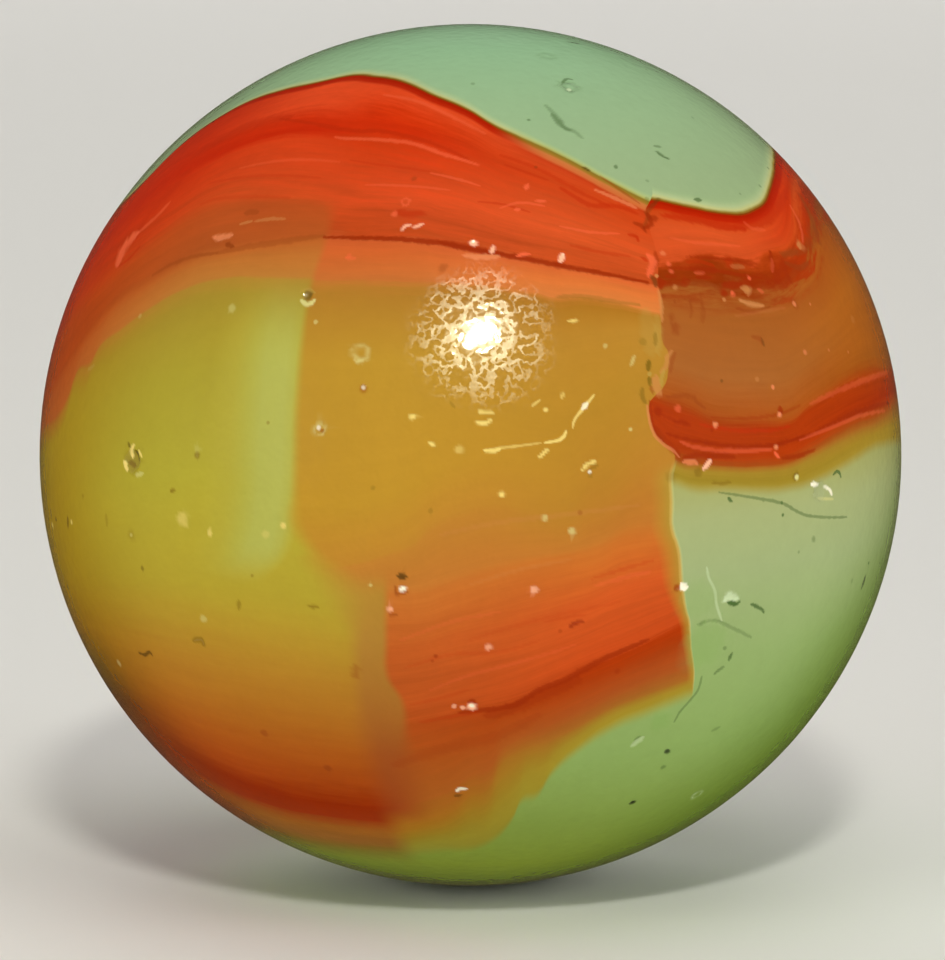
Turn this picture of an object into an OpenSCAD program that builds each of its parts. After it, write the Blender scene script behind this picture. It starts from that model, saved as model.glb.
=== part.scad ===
/* [Ball] */
// Diameter of the glass ball
ball_d = 16; // [10:0.5:40]

/* [Coloured glass] */
// Depth that the coloured glass reaches below the surface
ribbon_depth = 0.6; // [0.2:0.1:1.5]
// Width of the dark thread between two ribbons
thread_w = 0.14; // [0.05:0.01:0.3]
// Width of the dark stripe inside the top edge of the upper ribbon
stripe_w = 0.2; // [0.05:0.01:0.4]
// Width of the olive fringe outside the top edge of the upper ribbon
fringe_w = 0.12; // [0.05:0.01:0.4]

/* [Pits] */
// Diameter of the widest pit in the surface
pit_d = 0.34; // [0.1:0.02:0.5]
// Depth of the pits
pit_depth = 0.04; // [0.01:0.01:0.08]

/* [Hidden] */
$fn = 128;
pit_fn = 48;

ball_r = ball_d / 2;
// The coloured glass lies between this radius and the surface
core_r = ball_r - ribbon_depth;
// The cutting cones reach this far, so that their flat facets clear the ball
cone_r = ball_r * 1.3;
// Angle at the centre of one millimetre on the surface
mm_angle = 180 / (PI * ball_r);
// Spacing of the points along a band and down a seam
band_step = 5;
seam_step = 8;

// Glass colours
mint = "#98BC8C";
fringe_olive = "#8C8A3A";
stripe_brown = "#9A2A0C";
thread_brown = "#9E2A08";

// Every line below is a list of points on the globe. Longitude 0 faces -Y and 90
// faces +X; latitude 90 is the top. Lines down the ball are [latitude, longitude]:
// the two seams where the hot glass was cut, and the lap where the amber glass
// folds over the yellow glass. They end at this latitude, below and above.
seam_end = 80;
back_seam = [[-80, -150], [-40, -146], [-10, -152], [20, -148], [50, -153], [80, -150]];
lap = [[-80, -13], [-38, -14], [-25, -15], [-6, -14.5], [-3, -16.5], [0, -21], [4, -22], [30, -23],
    [80, -26]];
front_seam = [[-80, 33], [-23, 32.5], [-9, 28], [5, 25], [12, 24.5], [18, 27], [32, 29.5], [42, 32.5],
    [80, 34]];

// Lines across the ball are [longitude, latitude]. They run a little past the
// seams, which trim them. These lie left of the lap:
left_span = [-155, -5];
ribbon_top = [[-155, 33], [-120, 29], [-100, 30], [-88, 34], [-80, 43], [-74, 53], [-65, 58.5], [-50, 63],
    [-35, 65.5], [-20, 64], [-8, 61], [0, 57.5], [10, 52.5], [20, 47.5], [30, 41.5], [40, 39]];
red_low = [[-155, 8], [-120, 1], [-95, 3], [-85, 13], [-77, 23], [-62, 32], [-52, 39], [-42, 42], [-20, 42]];
brown_low = [[-155, -2], [-120, -7], [-90, -1], [-72, 7], [-57, 20.5], [-46, 27], [-36, 29.5], [-20, 29.5]];
yellow_low = [[-155, -30], [-110, -27], [-70, -21], [-30, -22], [-5, -24]];
tan_low = [[-155, -40], [-100, -38], [-65, -36], [-45, -42], [-30, -44], [-5, -44]];
maroon_low = [[-155, -50], [-100, -54], [-60, -56], [-35, -57], [-5, -56]];

// Lines between the lap and the front seam, under the same ribbon_top
middle_span = [-30, 36];
thread = [[-30, 36.5], [-10, 36], [0, 35.3], [7, 33.3], [15, 32], [25, 29.7], [36, 27]];
peach_low = [[-30, 30], [-10, 30], [9, 28.6], [17, 27.8], [26, 25.5], [36, 23]];
amber_low = [[-30, -11], [-11, -10], [0, -7.5], [8, -5.6], [22, -2.6], [36, -2.4]];
orange_low = [[-30, -34], [-10, -29], [2, -25.8], [16, -20], [25, -16.5], [36, -13]];
rust_low = [[-30, -53], [-9, -48], [0, -42], [5, -36], [12, -31], [20, -26.5], [30, -23.3], [36, -22]];
olive_low = [[-30, -58], [-8, -55], [5, -50], [11, -41], [16, -33], [26, -27.2], [36, -24]];

// Lines from the front seam round to the back seam
right_span = [18, 218];
right_top = [[18, 42], [33, 41.5], [40, 39.7], [50, 37.8], [60, 39.5], [70, 44], [80, 48.5], [95, 49],
    [130, 43], [170, 36], [218, 38]];
right_red_low = [[18, 32.3], [36, 32.6], [47, 31.4], [57, 32.4], [66, 37], [80, 41], [95, 39], [130, 32],
    [170, 25.5], [218, 27.5]];
right_rust_low = [[18, 29.5], [33, 28.7], [48, 27], [60, 30], [72, 36], [80, 38], [95, 36], [130, 30],
    [170, 24], [218, 26]];
right_tan_low = [[18, 14], [33, 11.7], [45, 11], [53, 12.6], [62, 14], [80, 13.3], [110, 16], [150, 12],
    [218, 12]];
right_orange_low = [[18, 12], [26, 7.5], [34, 5.3], [45, 4.8], [55, 7], [66, 7.8], [80, 8.5],
    [110, 6], [150, -2], [218, -4]];
right_olive_low = [[18, 5], [30, 3], [43, 1.6], [55, 3], [66, 4.6], [80, 3.5], [110, -1],
    [150, -9], [218, -12]];

// Edges that follow another line at a distance
fringe_top = moved(ribbon_top, fringe_w);
stripe_low = moved(ribbon_top, -stripe_w);
thread_top = moved(thread, thread_w / 2);
thread_low = moved(thread, -thread_w / 2);

// Pits, as [longitude, latitude, share of the widest pit's diameter]
pits = [[-50, 6, 1], [-43, 32.5, 1], [-25, 27, 0.9], [-14.5, 20, 0.8], [-9, -8, 0.8], [-1.5, -39.5, 0.7],
    [23, 57, 1], [33, -12, 0.9], [45, 23.5, 0.9], [50, -2, 1]];

function mix(a, b, t) = a + (b - a) * t;
function globe(r, lon, lat) = r * [cos(lat) * sin(lon), -cos(lat) * cos(lon), sin(lat)];
// A line across the ball, moved up by a distance on the surface
function moved(line, up) = [for (p = line) [p[0], p[1] + up * mm_angle]];

// Slope of a line at its point i, from its neighbours
function slope(line, i) =
    let (a = line[max(i - 1, 0)], b = line[min(i + 1, len(line) - 1)])
    (b[1] - a[1]) / (b[0] - a[0]);

// Value at x of the smooth curve through a line's points
function on_line(line, x, i = 0) =
    i < len(line) - 2 && x > line[i + 1][0] ? on_line(line, x, i + 1) :
    let (
        w = line[i + 1][0] - line[i][0],
        t = max(0, min(1, (x - line[i][0]) / w)),
        rise = line[i + 1][1] - line[i][1],
        a = slope(line, i) * w,
        b = slope(line, i + 1) * w
    )
    line[i][1] + t * a + t * t * (3 * rise - 2 * a - b) + t * t * t * (a + b - 2 * rise);

// Closed solid from the centre of the ball out to a grid of [longitude, latitude]
// points. Its sides are radial, so it cuts the surface along the grid's edge.
module cone_to(grid) {
    cols = len(grid) - 1;
    rows = len(grid[0]) - 1;
    centre = (cols + 1) * (rows + 1);
    function at(i, j) = i * (rows + 1) + j;
    points = [for (line = grid, p = line) globe(cone_r, p[0], p[1]), [0, 0, 0]];
    faces = [
        for (i = [0:cols - 1], j = [0:rows - 1])
            each [[at(i, j), at(i, j + 1), at(i + 1, j + 1)], [at(i, j), at(i + 1, j + 1), at(i + 1, j)]],
        for (i = [0:cols - 1])
            each [[at(i, 0), at(i + 1, 0), centre], [at(i + 1, rows), at(i, rows), centre]],
        for (j = [0:rows - 1])
            each [[at(0, j + 1), at(0, j), centre], [at(cols, j), at(cols, j + 1), centre]]];
    polyhedron(points, faces, convexity = 6);
}

// Cone over the band between two lines across the ball
module band(low, top, span) {
    rows = 2;
    cone_to([for (lon = [span[0]:band_step:span[1]])
        [for (j = [0:rows]) [lon, mix(on_line(low, lon), on_line(top, lon), j / rows)]]]);
}

// Cone over the part of the ball between two lines down it; the east one may be
// a number of turns further on
module panel(west, east, turns = 0) {
    cols = 3;
    cone_to([for (i = [0:cols])
        [for (lat = [-seam_end:seam_step:seam_end])
            [mix(on_line(west, lat), on_line(east, lat) + 360 * turns, i / cols), lat]]]);
}

module left_cone(low, top) {
    intersection() {
        panel(back_seam, lap);
        band(low, top, left_span);
    }
}

module middle_cone(low, top) {
    intersection() {
        panel(lap, front_seam);
        band(low, top, middle_span);
    }
}

module right_cone(low, top) {
    intersection() {
        panel(front_seam, back_seam, turns = 1);
        band(low, top, right_span);
    }
}

// Cap of a sphere sunk into the surface at each pit
module pit_cuts() {
    for (pit = pits) {
        d = pit_d * pit[2];
        r = (d * d / 4 + pit_depth * pit_depth) / (2 * pit_depth);
        translate(globe(ball_r - pit_depth + r, pit[0], pit[1])) sphere(r = r, $fn = pit_fn);
    }
}

module ball() {
    difference() {
        sphere(r = ball_r);
        pit_cuts();
    }
}

// Part of the coloured layer that lies in a cone
module field() {
    intersection() {
        difference() {
            ball();
            sphere(r = core_r);
        }
        children();
    }
}

module base_glass() {
    color(mint) {
        sphere(r = core_r);
        difference() {
            ball();
            left_cone(maroon_low, fringe_top);
            middle_cone(olive_low, fringe_top);
            right_cone(right_olive_low, right_top);
        }
    }
}

module left_glass() {
    color(fringe_olive) field() left_cone(ribbon_top, fringe_top);
    color(stripe_brown) field() left_cone(stripe_low, ribbon_top);
    color("#D23A14") field() left_cone(red_low, stripe_low);
    color("#BA602A") field() left_cone(brown_low, red_low);
    color("#B2A838") field() left_cone(yellow_low, brown_low);
    color("#AC6E28") field() left_cone(tan_low, yellow_low);
    color("#8C2A0E") field() left_cone(maroon_low, tan_low);
}

module middle_glass() {
    color(fringe_olive) field() middle_cone(ribbon_top, fringe_top);
    color(stripe_brown) field() middle_cone(stripe_low, ribbon_top);
    color("#D84822") field() middle_cone(thread_top, stripe_low);
    color(thread_brown) field() middle_cone(thread_low, thread_top);
    color("#D86C38") field() middle_cone(peach_low, thread_low);
    color("#BE9030") field() middle_cone(amber_low, peach_low);
    color("#C85E28") field() middle_cone(orange_low, amber_low);
    color("#A64218") field() middle_cone(rust_low, orange_low);
    color("#A08C30") field() middle_cone(olive_low, rust_low);
}

module right_glass() {
    color("#DC5224") field() right_cone(right_red_low, right_top);
    color("#9C340C") field() right_cone(right_rust_low, right_red_low);
    color("#AB6229") field() right_cone(right_tan_low, right_rust_low);
    color("#B03A12") field() right_cone(right_orange_low, right_tan_low);
    color("#A08430") field() right_cone(right_olive_low, right_orange_low);
}

module marble() {
    base_glass();
    left_glass();
    middle_glass();
    right_glass();
}

marble();
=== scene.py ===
"""Looks of the glass marble: a worn ball with a swirl of coloured glass, on a pale floor."""
import math
import random
from collections import namedtuple

import bpy
import numpy as np
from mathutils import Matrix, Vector, noise


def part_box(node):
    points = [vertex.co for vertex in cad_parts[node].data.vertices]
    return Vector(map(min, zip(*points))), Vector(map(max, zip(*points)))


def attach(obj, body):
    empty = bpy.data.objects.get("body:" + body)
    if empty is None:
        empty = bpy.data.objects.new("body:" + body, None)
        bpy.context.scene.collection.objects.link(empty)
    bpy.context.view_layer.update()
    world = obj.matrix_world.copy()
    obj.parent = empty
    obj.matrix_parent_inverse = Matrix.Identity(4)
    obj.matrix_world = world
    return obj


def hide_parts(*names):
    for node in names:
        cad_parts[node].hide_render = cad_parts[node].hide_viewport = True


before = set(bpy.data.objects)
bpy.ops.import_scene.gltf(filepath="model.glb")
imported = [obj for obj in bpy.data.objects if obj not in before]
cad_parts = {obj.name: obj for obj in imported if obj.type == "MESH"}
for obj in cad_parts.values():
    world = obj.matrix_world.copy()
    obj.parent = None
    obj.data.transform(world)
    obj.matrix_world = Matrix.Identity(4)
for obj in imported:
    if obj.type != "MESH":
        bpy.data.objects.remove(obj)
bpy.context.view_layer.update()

MM = 0.001
LOWEST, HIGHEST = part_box("marble")
BALL_R = (HIGHEST.z - LOWEST.z) / 2

# ---------------------------------------------------------------- places on the ball
# Longitude 0 faces -Y and 90 faces +X; latitude 90 is the top.


def on_ball(lon, lat, radius=BALL_R):
    """Point at a longitude and latitude, in degrees."""
    east, north = math.radians(lon), math.radians(lat)
    flat = math.cos(north)
    return radius * Vector((flat * math.sin(east), -flat * math.cos(east), math.sin(north)))


# Lines down the ball, as (latitude, longitude): two seams where the hot glass was
# cut, and the lap where the amber glass folds over the yellow glass.
BACK_SEAM = [(-90, -150), (-40, -146), (-10, -152), (20, -148), (50, -153), (90, -150)]
LAP = [
    (-90, -13), (-38, -14), (-25, -15.2), (-18, -14.9), (-13, -14.5), (-10.9, -14.7), (-9.4, -15.2),
    (-8.1, -15.5), (-6.8, -16.7), (-5.6, -18.4), (-4.1, -19.9), (-2.3, -21.3), (-0.9, -22),
    (2.3, -22.2), (8, -22.4), (20, -22.9), (30, -23.2), (36, -22.5), (42, -22.8), (60, -26), (90, -26)]
ORANGE_EDGE = [
    (-90, -9), (-31, -9.6), (-25, -9.5), (-21.5, -11.2), (-16, -11.1), (-10, -10.8), (0, -10.6),
    (90, -10.6)]
FRONT_SEAM = [
    (-90, 36), (-35, 34), (-23, 32.5), (-18.8, 31), (-14.5, 29.8), (-12.2, 28.8), (-9, 28), (-5, 27.3),
    (-1.8, 26.3), (1.3, 26.3), (4.8, 26.2), (7, 26.8), (8.2, 26.2), (8.9, 25.2), (10.1, 24.3),
    (11.7, 23.7), (13, 23.5), (14.3, 24), (15.2, 25.4), (16.4, 26.5), (18.4, 27.1), (20, 27.5),
    (21.5, 26.9), (23.4, 27.1), (25.5, 27.7), (27.4, 28.1), (28.9, 28.2), (33.2, 29.4), (37, 29.6),
    (39.5, 30), (41, 31.6), (42.2, 33), (50, 34), (90, 34)]

# East edge of the yellow glass's pale stripe
PALE_LINE = [
    (-90, -31), (-12, -30), (-9, -27.5), (-6, -24.5), (-3, -23.2), (0, -22.7), (4, -22.3), (8, -22.4),
    (20, -22.9), (30, -23.2), (90, -24)]

# Width of the lap's blend, as (latitude, degrees)
LAP_BLEND = [
    (-90, 3.5), (-32, 2.5), (-22, 1.2), (-17, 1.3), (-12, 3.2), (-7.5, 4), (-4.5, 1.8), (-1, 1.6),
    (3, 1), (20, 0.8), (28, 0.6), (36, 0.9), (42, 3), (47, 7), (90, 8)]

# Lines across the ball, as (longitude, latitude). Left of the lap, from below:
MAROON_LOW = [(-155, -50), (-100, -54), (-60, -56), (-35, -57), (-5, -56)]
TAN_LOW = [(-155, -40), (-100, -38), (-65, -36), (-45, -42), (-30, -44), (-5, -44)]
YELLOW_LOW = [(-155, -30), (-110, -27), (-70, -21), (-30, -22), (-5, -24)]
BROWN_LOW = [
    (-155, -2), (-120, -7), (-88, 0), (-80, 4.5), (-71.5, 7), (-68, 10), (-66.5, 14), (-62.5, 15.5),
    (-61.5, 17.6), (-57, 20.5), (-51.3, 24.2), (-46, 27), (-38.3, 29.2), (-32.7, 29.6), (-5, 29.7)]
BROWN_MIDDLE = [
    (-155, 2), (-120, -3), (-95, 1), (-88, 4), (-80, 9), (-68, 18), (-60, 25), (-54.3, 27.8),
    (-46.5, 31.7), (-41, 33.2), (-33, 34.8), (-22, 36), (-5, 36)]
RED_LOW = [
    (-155, 8), (-120, 1), (-95, 3.5), (-88, 8), (-83, 15), (-77, 23), (-70, 27.5), (-62, 32),
    (-57.5, 35), (-52, 39), (-44.5, 41.5), (-35.5, 42.2), (-24, 42), (-5, 42)]
LEFT_TOP = [
    (-155, 33), (-120, 29), (-100, 30), (-88, 35), (-80, 41), (-78, 48), (-75, 52), (-70, 56.5),
    (-60, 60.5), (-50, 63), (-40, 65.5), (-30, 65.5), (-20, 64.5), (-5, 59.7)]

# Between the lap and the front seam, from below:
OLIVE_LOW = [
    (-30, -58), (-8, -55), (5, -51), (8, -45.5), (8.6, -42.5), (11.6, -40.6), (13, -36.9),
    (16.6, -32.5), (21, -29.2), (26, -27.2), (36, -24)]
RUST_LOW = [
    (-30, -53), (-8.8, -48), (-2.9, -45), (-0.3, -42), (3.2, -39.8), (4.6, -35.6), (6.9, -33.4),
    (12, -31), (16, -29), (20.5, -26.3), (25.2, -24.7), (30.2, -23.4), (36, -22)]
ORANGE_LOW = [
    (-30, -34), (-10, -29), (1.6, -26), (6.3, -24.8), (12.3, -22), (15.7, -20.3), (20.5, -18.5),
    (25.2, -16.6), (36, -12.5)]
AMBER_LOW = [
    (-30, -10), (-11, -9.8), (-6, -9.6), (-3.2, -8.6), (0.4, -7.5), (3.8, -6.5), (8, -5.6), (12.3, -5),
    (16.2, -4.3), (19.2, -3), (22.3, -2.6), (36, -2.6)]
AMBER_MIDDLE = [
    (-30, -7), (-15.2, -6), (-10.5, -4.5), (-7, -2.9), (-5.2, -1), (-0.5, 1.2), (3.7, 1.9), (8, 1.2),
    (13, 1.6), (15, 4), (17.7, 5.2), (21.5, 9), (36, 12)]
PEACH_LOW = [
    (-30, 29.6), (-22, 29.8), (-10.6, 30), (9.4, 28.6), (11.3, 28), (16.5, 27.8), (20, 27.1),
    (23.5, 26.3), (25.5, 25.7), (36, 24)]
THREAD = [
    (-30, 36.6), (-22.2, 36.3), (-14, 36.2), (-8.5, 36.4), (-4.6, 35.6), (0, 34.9), (3.2, 34.2),
    (7.3, 33.3), (12.9, 32.4), (19.3, 31.1), (26.6, 29.4), (36, 27)]
MIDDLE_TOP = [
    (-30, 65.5), (-20, 64.5), (-10, 61.5), (0, 58), (5, 55.1), (10, 52.8), (15, 50.4), (20, 47.8),
    (25, 44.6), (30, 41.7), (36, 39)]

# From the front seam round to the back seam, from below:
RIGHT_OLIVE_LOW = [
    (18, 5), (26, 4.2), (29.5, 3), (34, 2.6), (38.7, 2), (43.5, 1.6), (49.6, 2), (55, 3), (60, 3.8),
    (66, 4.6), (70, 4.5), (80, 3.5), (110, -1), (150, -9), (218, -12)]
RIGHT_ORANGE_LOW = [
    (18, 13), (24, 10), (27, 6.6), (30, 6), (35, 5.2), (40, 4.8), (45, 4.8), (50, 6), (55, 7),
    (60, 7.6), (66, 7.8), (80, 8.5), (110, 6), (150, -2), (218, -4)]
RIGHT_TAN_LOW = [
    (18, 16), (26, 14.5), (29.6, 13.2), (33, 11.6), (40, 10.8), (46, 10.6), (50, 12), (53.6, 13),
    (61, 14.4), (70, 14.6), (80, 13.3), (110, 16), (150, 12), (218, 12)]
RIGHT_DARK_LOW = [
    (18, 29.5), (29, 29), (32.5, 28.7), (38.6, 28), (44, 27.4), (49, 27), (56, 28.6), (61, 30),
    (66, 33), (72, 36), (80, 38), (95, 36), (130, 30), (170, 24), (218, 26)]
RIGHT_RED_LOW = [
    (18, 32.3), (30, 32.3), (36.5, 32.6), (41, 32.4), (46.5, 31.4), (50.5, 32), (57, 32.4), (60, 33.6),
    (66, 37), (72, 39.5), (80, 41), (95, 39), (130, 32), (170, 25.5), (218, 27.5)]
RIGHT_TOP = [
    (18, 42), (33, 41.4), (36.2, 40.6), (41.3, 39.4), (45.5, 38.5), (49.1, 38.1), (53.9, 38.4),
    (58.6, 39.3), (62.9, 40.8), (69.7, 42.9), (76.7, 44.5), (85, 45.5), (95, 45.6), (130, 42),
    (170, 36), (218, 38)]

# ---------------------------------------------------------------- glass colours


def srgb(red, green, blue, alpha=1.0):
    """Linear colour of an sRGB colour given in 0 to 255."""
    parts = (red / 255, green / 255, blue / 255)
    linear = [part / 12.92 if part <= 0.04045 else ((part + 0.055) / 1.055) ** 2.4 for part in parts]
    return (*linear, alpha)


def stops(*rows):
    """Stops of a ramp, from rows of (spot, red, green, blue, alpha); alpha is 1 if not given."""
    return [(spot, srgb(*colour)) for spot, *colour in rows]


# Pale green base glass by latitude, lighter towards the top and darker towards the bottom,
# with a deeper green round the lower right back that is partly the glass's own tone and
# partly painted shade of its shadowed lower side
BASE_GLASS = stops(
    (-90, 124, 144, 52), (-60, 148, 168, 60), (-48, 142, 167, 78), (-34, 146, 175, 100),
    (-20, 151, 176, 110), (-8, 161, 176, 123), (-1, 165, 174, 119), (6, 163, 160, 88),
    (30, 150, 172, 120), (44, 153, 176, 130), (60, 155, 188, 142), (75, 157, 200, 154),
    (90, 166, 210, 168))
SHADED_DEEP_GLASS = srgb(102, 132, 28)
SHADED_DEEP_SIDE = on_ball(112, -42, 1)

# Fields of a panel, as (band, colour): band 2.5 is half way between its edges 2 and 3,
# and the colour's alpha says how streaky the glass is there.
LEFT_NEAR = stops(
    (0, 142, 118, 42, 0.5), (0.25, 160, 106, 44, 0.7), (0.5, 174, 106, 36, 0.7),
    (0.75, 160, 54, 14, 0.6), (1, 156, 46, 4, 0.6), (1.25, 176, 78, 20, 0.4), (1.5, 180, 96, 28, 0.3),
    (2, 184, 130, 42, 0.2), (2.22, 180, 160, 50, 0.12), (2.5, 178, 167, 54, 0.1),
    (2.75, 170, 156, 50, 0.1), (2.95, 163, 138, 46, 0.2), (3.08, 184, 118, 50, 0.4),
    (3.6, 186, 110, 46, 0.5), (3.95, 184, 97, 40, 0.7), (4.1, 176, 84, 34, 0.6),
    (4.75, 186, 80, 32, 0.7), (5.02, 204, 74, 30, 0.9), (5.2, 214, 70, 28, 0.7),
    (5.4, 216, 66, 24, 0.5), (5.46, 202, 40, 8, 0.4), (5.58, 210, 50, 12, 0.4), (5.7, 228, 74, 32, 0.5),
    (6, 230, 78, 34, 0.5))
LEFT_FAR = stops(
    (0, 136, 50, 12, 0.5), (0.5, 146, 44, 6, 0.8), (1, 126, 62, 16, 0.6), (1.3, 106, 64, 14, 0.6),
    (1.6, 124, 88, 12, 0.5), (2, 152, 108, 12, 0.3), (2.3, 167, 133, 22, 0.2), (2.9, 170, 140, 30, 0.2),
    (3.02, 176, 112, 34, 0.5), (3.1, 186, 95, 36, 0.6), (3.7, 186, 86, 30, 0.7), (4, 180, 72, 18, 0.8),
    (4.6, 186, 69, 16, 0.8), (5, 194, 56, 12, 0.9), (5.4, 204, 40, 6, 0.8), (6, 206, 42, 4, 0.6))
MIDDLE_NEAR = stops(
    (0, 170, 150, 46, 0.3), (0.5, 168, 141, 44, 0.3), (0.8, 168, 123, 40, 0.4),
    (1.05, 170, 101, 38, 0.5), (1.3, 174, 83, 32, 0.5), (1.8, 174, 60, 12, 0.7),
    (1.98, 178, 56, 8, 0.6), (2.06, 198, 74, 26, 0.9), (2.6, 204, 87, 34, 0.7),
    (2.9, 202, 107, 40, 0.5), (3.15, 187, 116, 44, 0.4), (3.7, 181, 124, 42, 0.25),
    (4.4, 174, 127, 40, 0.15), (4.8, 178, 127, 44, 0.2), (4.96, 167, 111, 32, 0.3),
    (5.03, 210, 121, 58, 0.5), (5.6, 210, 110, 50, 0.6), (5.96, 207, 96, 46, 0.8),
    (6.02, 188, 73, 28, 1), (6.3, 204, 80, 34, 1), (6.7, 198, 66, 22, 0.8), (7, 204, 72, 30, 0.6))
MIDDLE_FAR = stops(
    (0, 158, 158, 60, 0.3), (0.3, 166, 156, 54, 0.3), (0.6, 170, 142, 42, 0.4), (1, 182, 125, 34, 0.5),
    (1.3, 181, 102, 36, 0.5), (1.8, 175, 84, 28, 0.6), (2, 183, 82, 28, 0.6), (2.1, 191, 86, 32, 0.8),
    (2.6, 194, 94, 37, 0.7), (2.9, 199, 110, 44, 0.5), (3.15, 194, 119, 48, 0.4),
    (3.9, 191, 127, 48, 0.25), (4.2, 190, 144, 44, 0.15), (4.7, 185, 142, 46, 0.2),
    (4.96, 172, 120, 42, 0.3), (5.04, 196, 110, 50, 0.5), (5.6, 204, 98, 44, 0.6),
    (5.97, 199, 89, 42, 0.8), (6.02, 184, 70, 26, 1), (6.25, 206, 72, 30, 1), (6.5, 209, 62, 20, 0.5),
    (6.66, 202, 44, 8, 0.4), (6.77, 212, 54, 12, 0.4), (6.87, 222, 70, 28, 0.5), (7, 226, 76, 34, 0.5))
RIGHT_NEAR = stops(
    (0, 164, 143, 52, 0.4), (0.3, 153, 128, 38, 0.5), (0.65, 160, 129, 41, 0.5),
    (0.85, 161, 105, 35, 0.6), (1, 154, 68, 20, 0.9), (1.2, 168, 54, 10, 1), (1.8, 167, 54, 10, 1),
    (2.05, 164, 82, 26, 0.7), (2.3, 162, 95, 40, 0.4), (2.75, 161, 90, 34, 0.4), (3, 152, 69, 24, 0.8),
    (3.25, 144, 50, 8, 1), (3.6, 151, 53, 10, 1), (3.9, 174, 62, 18, 1), (4.08, 203, 78, 33, 0.9),
    (4.5, 206, 80, 34, 0.7), (4.8, 193, 66, 20, 0.6), (5, 198, 65, 20, 0.6))
RIGHT_FAR = stops(
    (0, 162, 136, 44, 0.4), (0.4, 164, 132, 38, 0.5), (0.8, 164, 104, 34, 0.5),
    (1.05, 168, 74, 20, 0.9), (1.3, 166, 46, 2, 1), (1.8, 166, 57, 6, 1), (2.05, 162, 87, 20, 0.5),
    (2.5, 174, 96, 24, 0.3), (2.85, 166, 79, 20, 0.5), (3, 174, 48, 2, 0.9), (3.5, 190, 52, 6, 1),
    (3.9, 214, 78, 24, 0.9), (4.25, 197, 46, 5, 0.7), (4.7, 208, 58, 14, 0.6), (5, 214, 60, 18, 0.6))

# Strip of tan glass between the lap and the orange edge, by latitude
TAN_STRIP = stops(
    (-60, 146, 52, 16), (-45, 164, 72, 28), (-34, 164, 84, 34), (-25, 172, 112, 44),
    (-16, 178, 130, 52), (-8, 182, 138, 52))

# Edge of a ribbon against the base glass, by degrees above the edge
STRIPE_AND_FRINGE = stops(
    (-2, 200, 44, 12, 0), (-1.45, 184, 30, 4, 0.9), (-0.45, 168, 28, 2, 1), (-0.15, 130, 62, 12, 1),
    (0.15, 152, 132, 52, 1), (0.5, 200, 196, 128, 0.85), (1.1, 192, 204, 148, 0.5),
    (2.2, 160, 190, 130, 0))
BROAD_FRINGE = stops(
    (-3.4, 205, 60, 25, 0), (-2.3, 186, 54, 18, 0.7), (-1.8, 204, 104, 52, 1), (-0.9, 198, 116, 58, 1),
    (-0.5, 160, 116, 40, 1), (0.1, 136, 112, 36, 1), (0.5, 176, 176, 96, 1), (1, 180, 192, 124, 0.6),
    (1.8, 160, 190, 130, 0))
# Left side of the front seam, by degrees east of it
SEAM_FRINGE = stops(
    (-3, 178, 140, 52, 0), (-1.5, 176, 142, 50, 0.5), (-0.45, 172, 144, 54, 0.8),
    (-0.25, 196, 170, 82, 0.8), (0.15, 196, 186, 110, 0.7), (0.4, 186, 196, 140, 0))
# Pale stripe of the yellow glass, by degrees west of its edge
PALE_STRIPE = stops(
    (-0.6, 180, 166, 60, 0), (0.2, 181, 171, 66, 0.8), (1.2, 180, 177, 80, 0.95),
    (2.5, 180, 180, 86, 1), (5.5, 179, 179, 84, 0.95), (7.5, 178, 175, 74, 0.8),
    (10, 180, 170, 64, 0.5), (14, 180, 168, 60, 0))

# ---------------------------------------------------------------- marks in the surface

EMBER = srgb(188, 42, 10)
MAROON = srgb(151, 42, 9)
RUSSET = srgb(146, 64, 22)
CORAL = srgb(238, 104, 62)
PEACH = srgb(226, 132, 82)
# Rose marks are pale chips, with painted glints where the lamp catches them
ROSE_CHIP_AND_GLINT = srgb(252, 184, 146)
TAN = srgb(200, 130, 70)
BRASS = srgb(178, 146, 66)
DRAB = srgb(126, 96, 24)
# Umber marks are dark specks, and on the upper walls of a few pits painted shade
UMBER_SPECK_AND_SHADE = srgb(80, 54, 18)
NIGHT = srgb(24, 30, 14)
MOSS = srgb(70, 100, 46)
FERN = srgb(134, 170, 90)
SAGE = srgb(160, 168, 122)
MINT_PALE = srgb(204, 220, 176)
PALE = srgb(216, 208, 134)
# Lemon and ivory marks are pale chips and specks, and painted glints where the lamp catches chips, pits
# and fine scratches
LEMON_SPECK_AND_GLINT = srgb(242, 216, 122)
IVORY_CHIP_AND_GLINT = srgb(255, 248, 222)

# A mark is a place or a line of places (longitude, latitude), its width in mm, its
# tint and the tint's share. Some are worn into the glass, to a depth in mm, and a
# hollow one is a ring.
Mark = namedtuple("Mark", "path width tint share depth hollow")


def dot(place, width, tint, share, depth=0.0):
    return Mark([place], width, tint, share, depth, False)


def ring(place, width, tint, share, depth=0.0):
    return Mark([place], width, tint, share, depth, True)


def line(path, width, tint, share, depth=0.0):
    return Mark(path, width, tint, share, depth, False)


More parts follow.
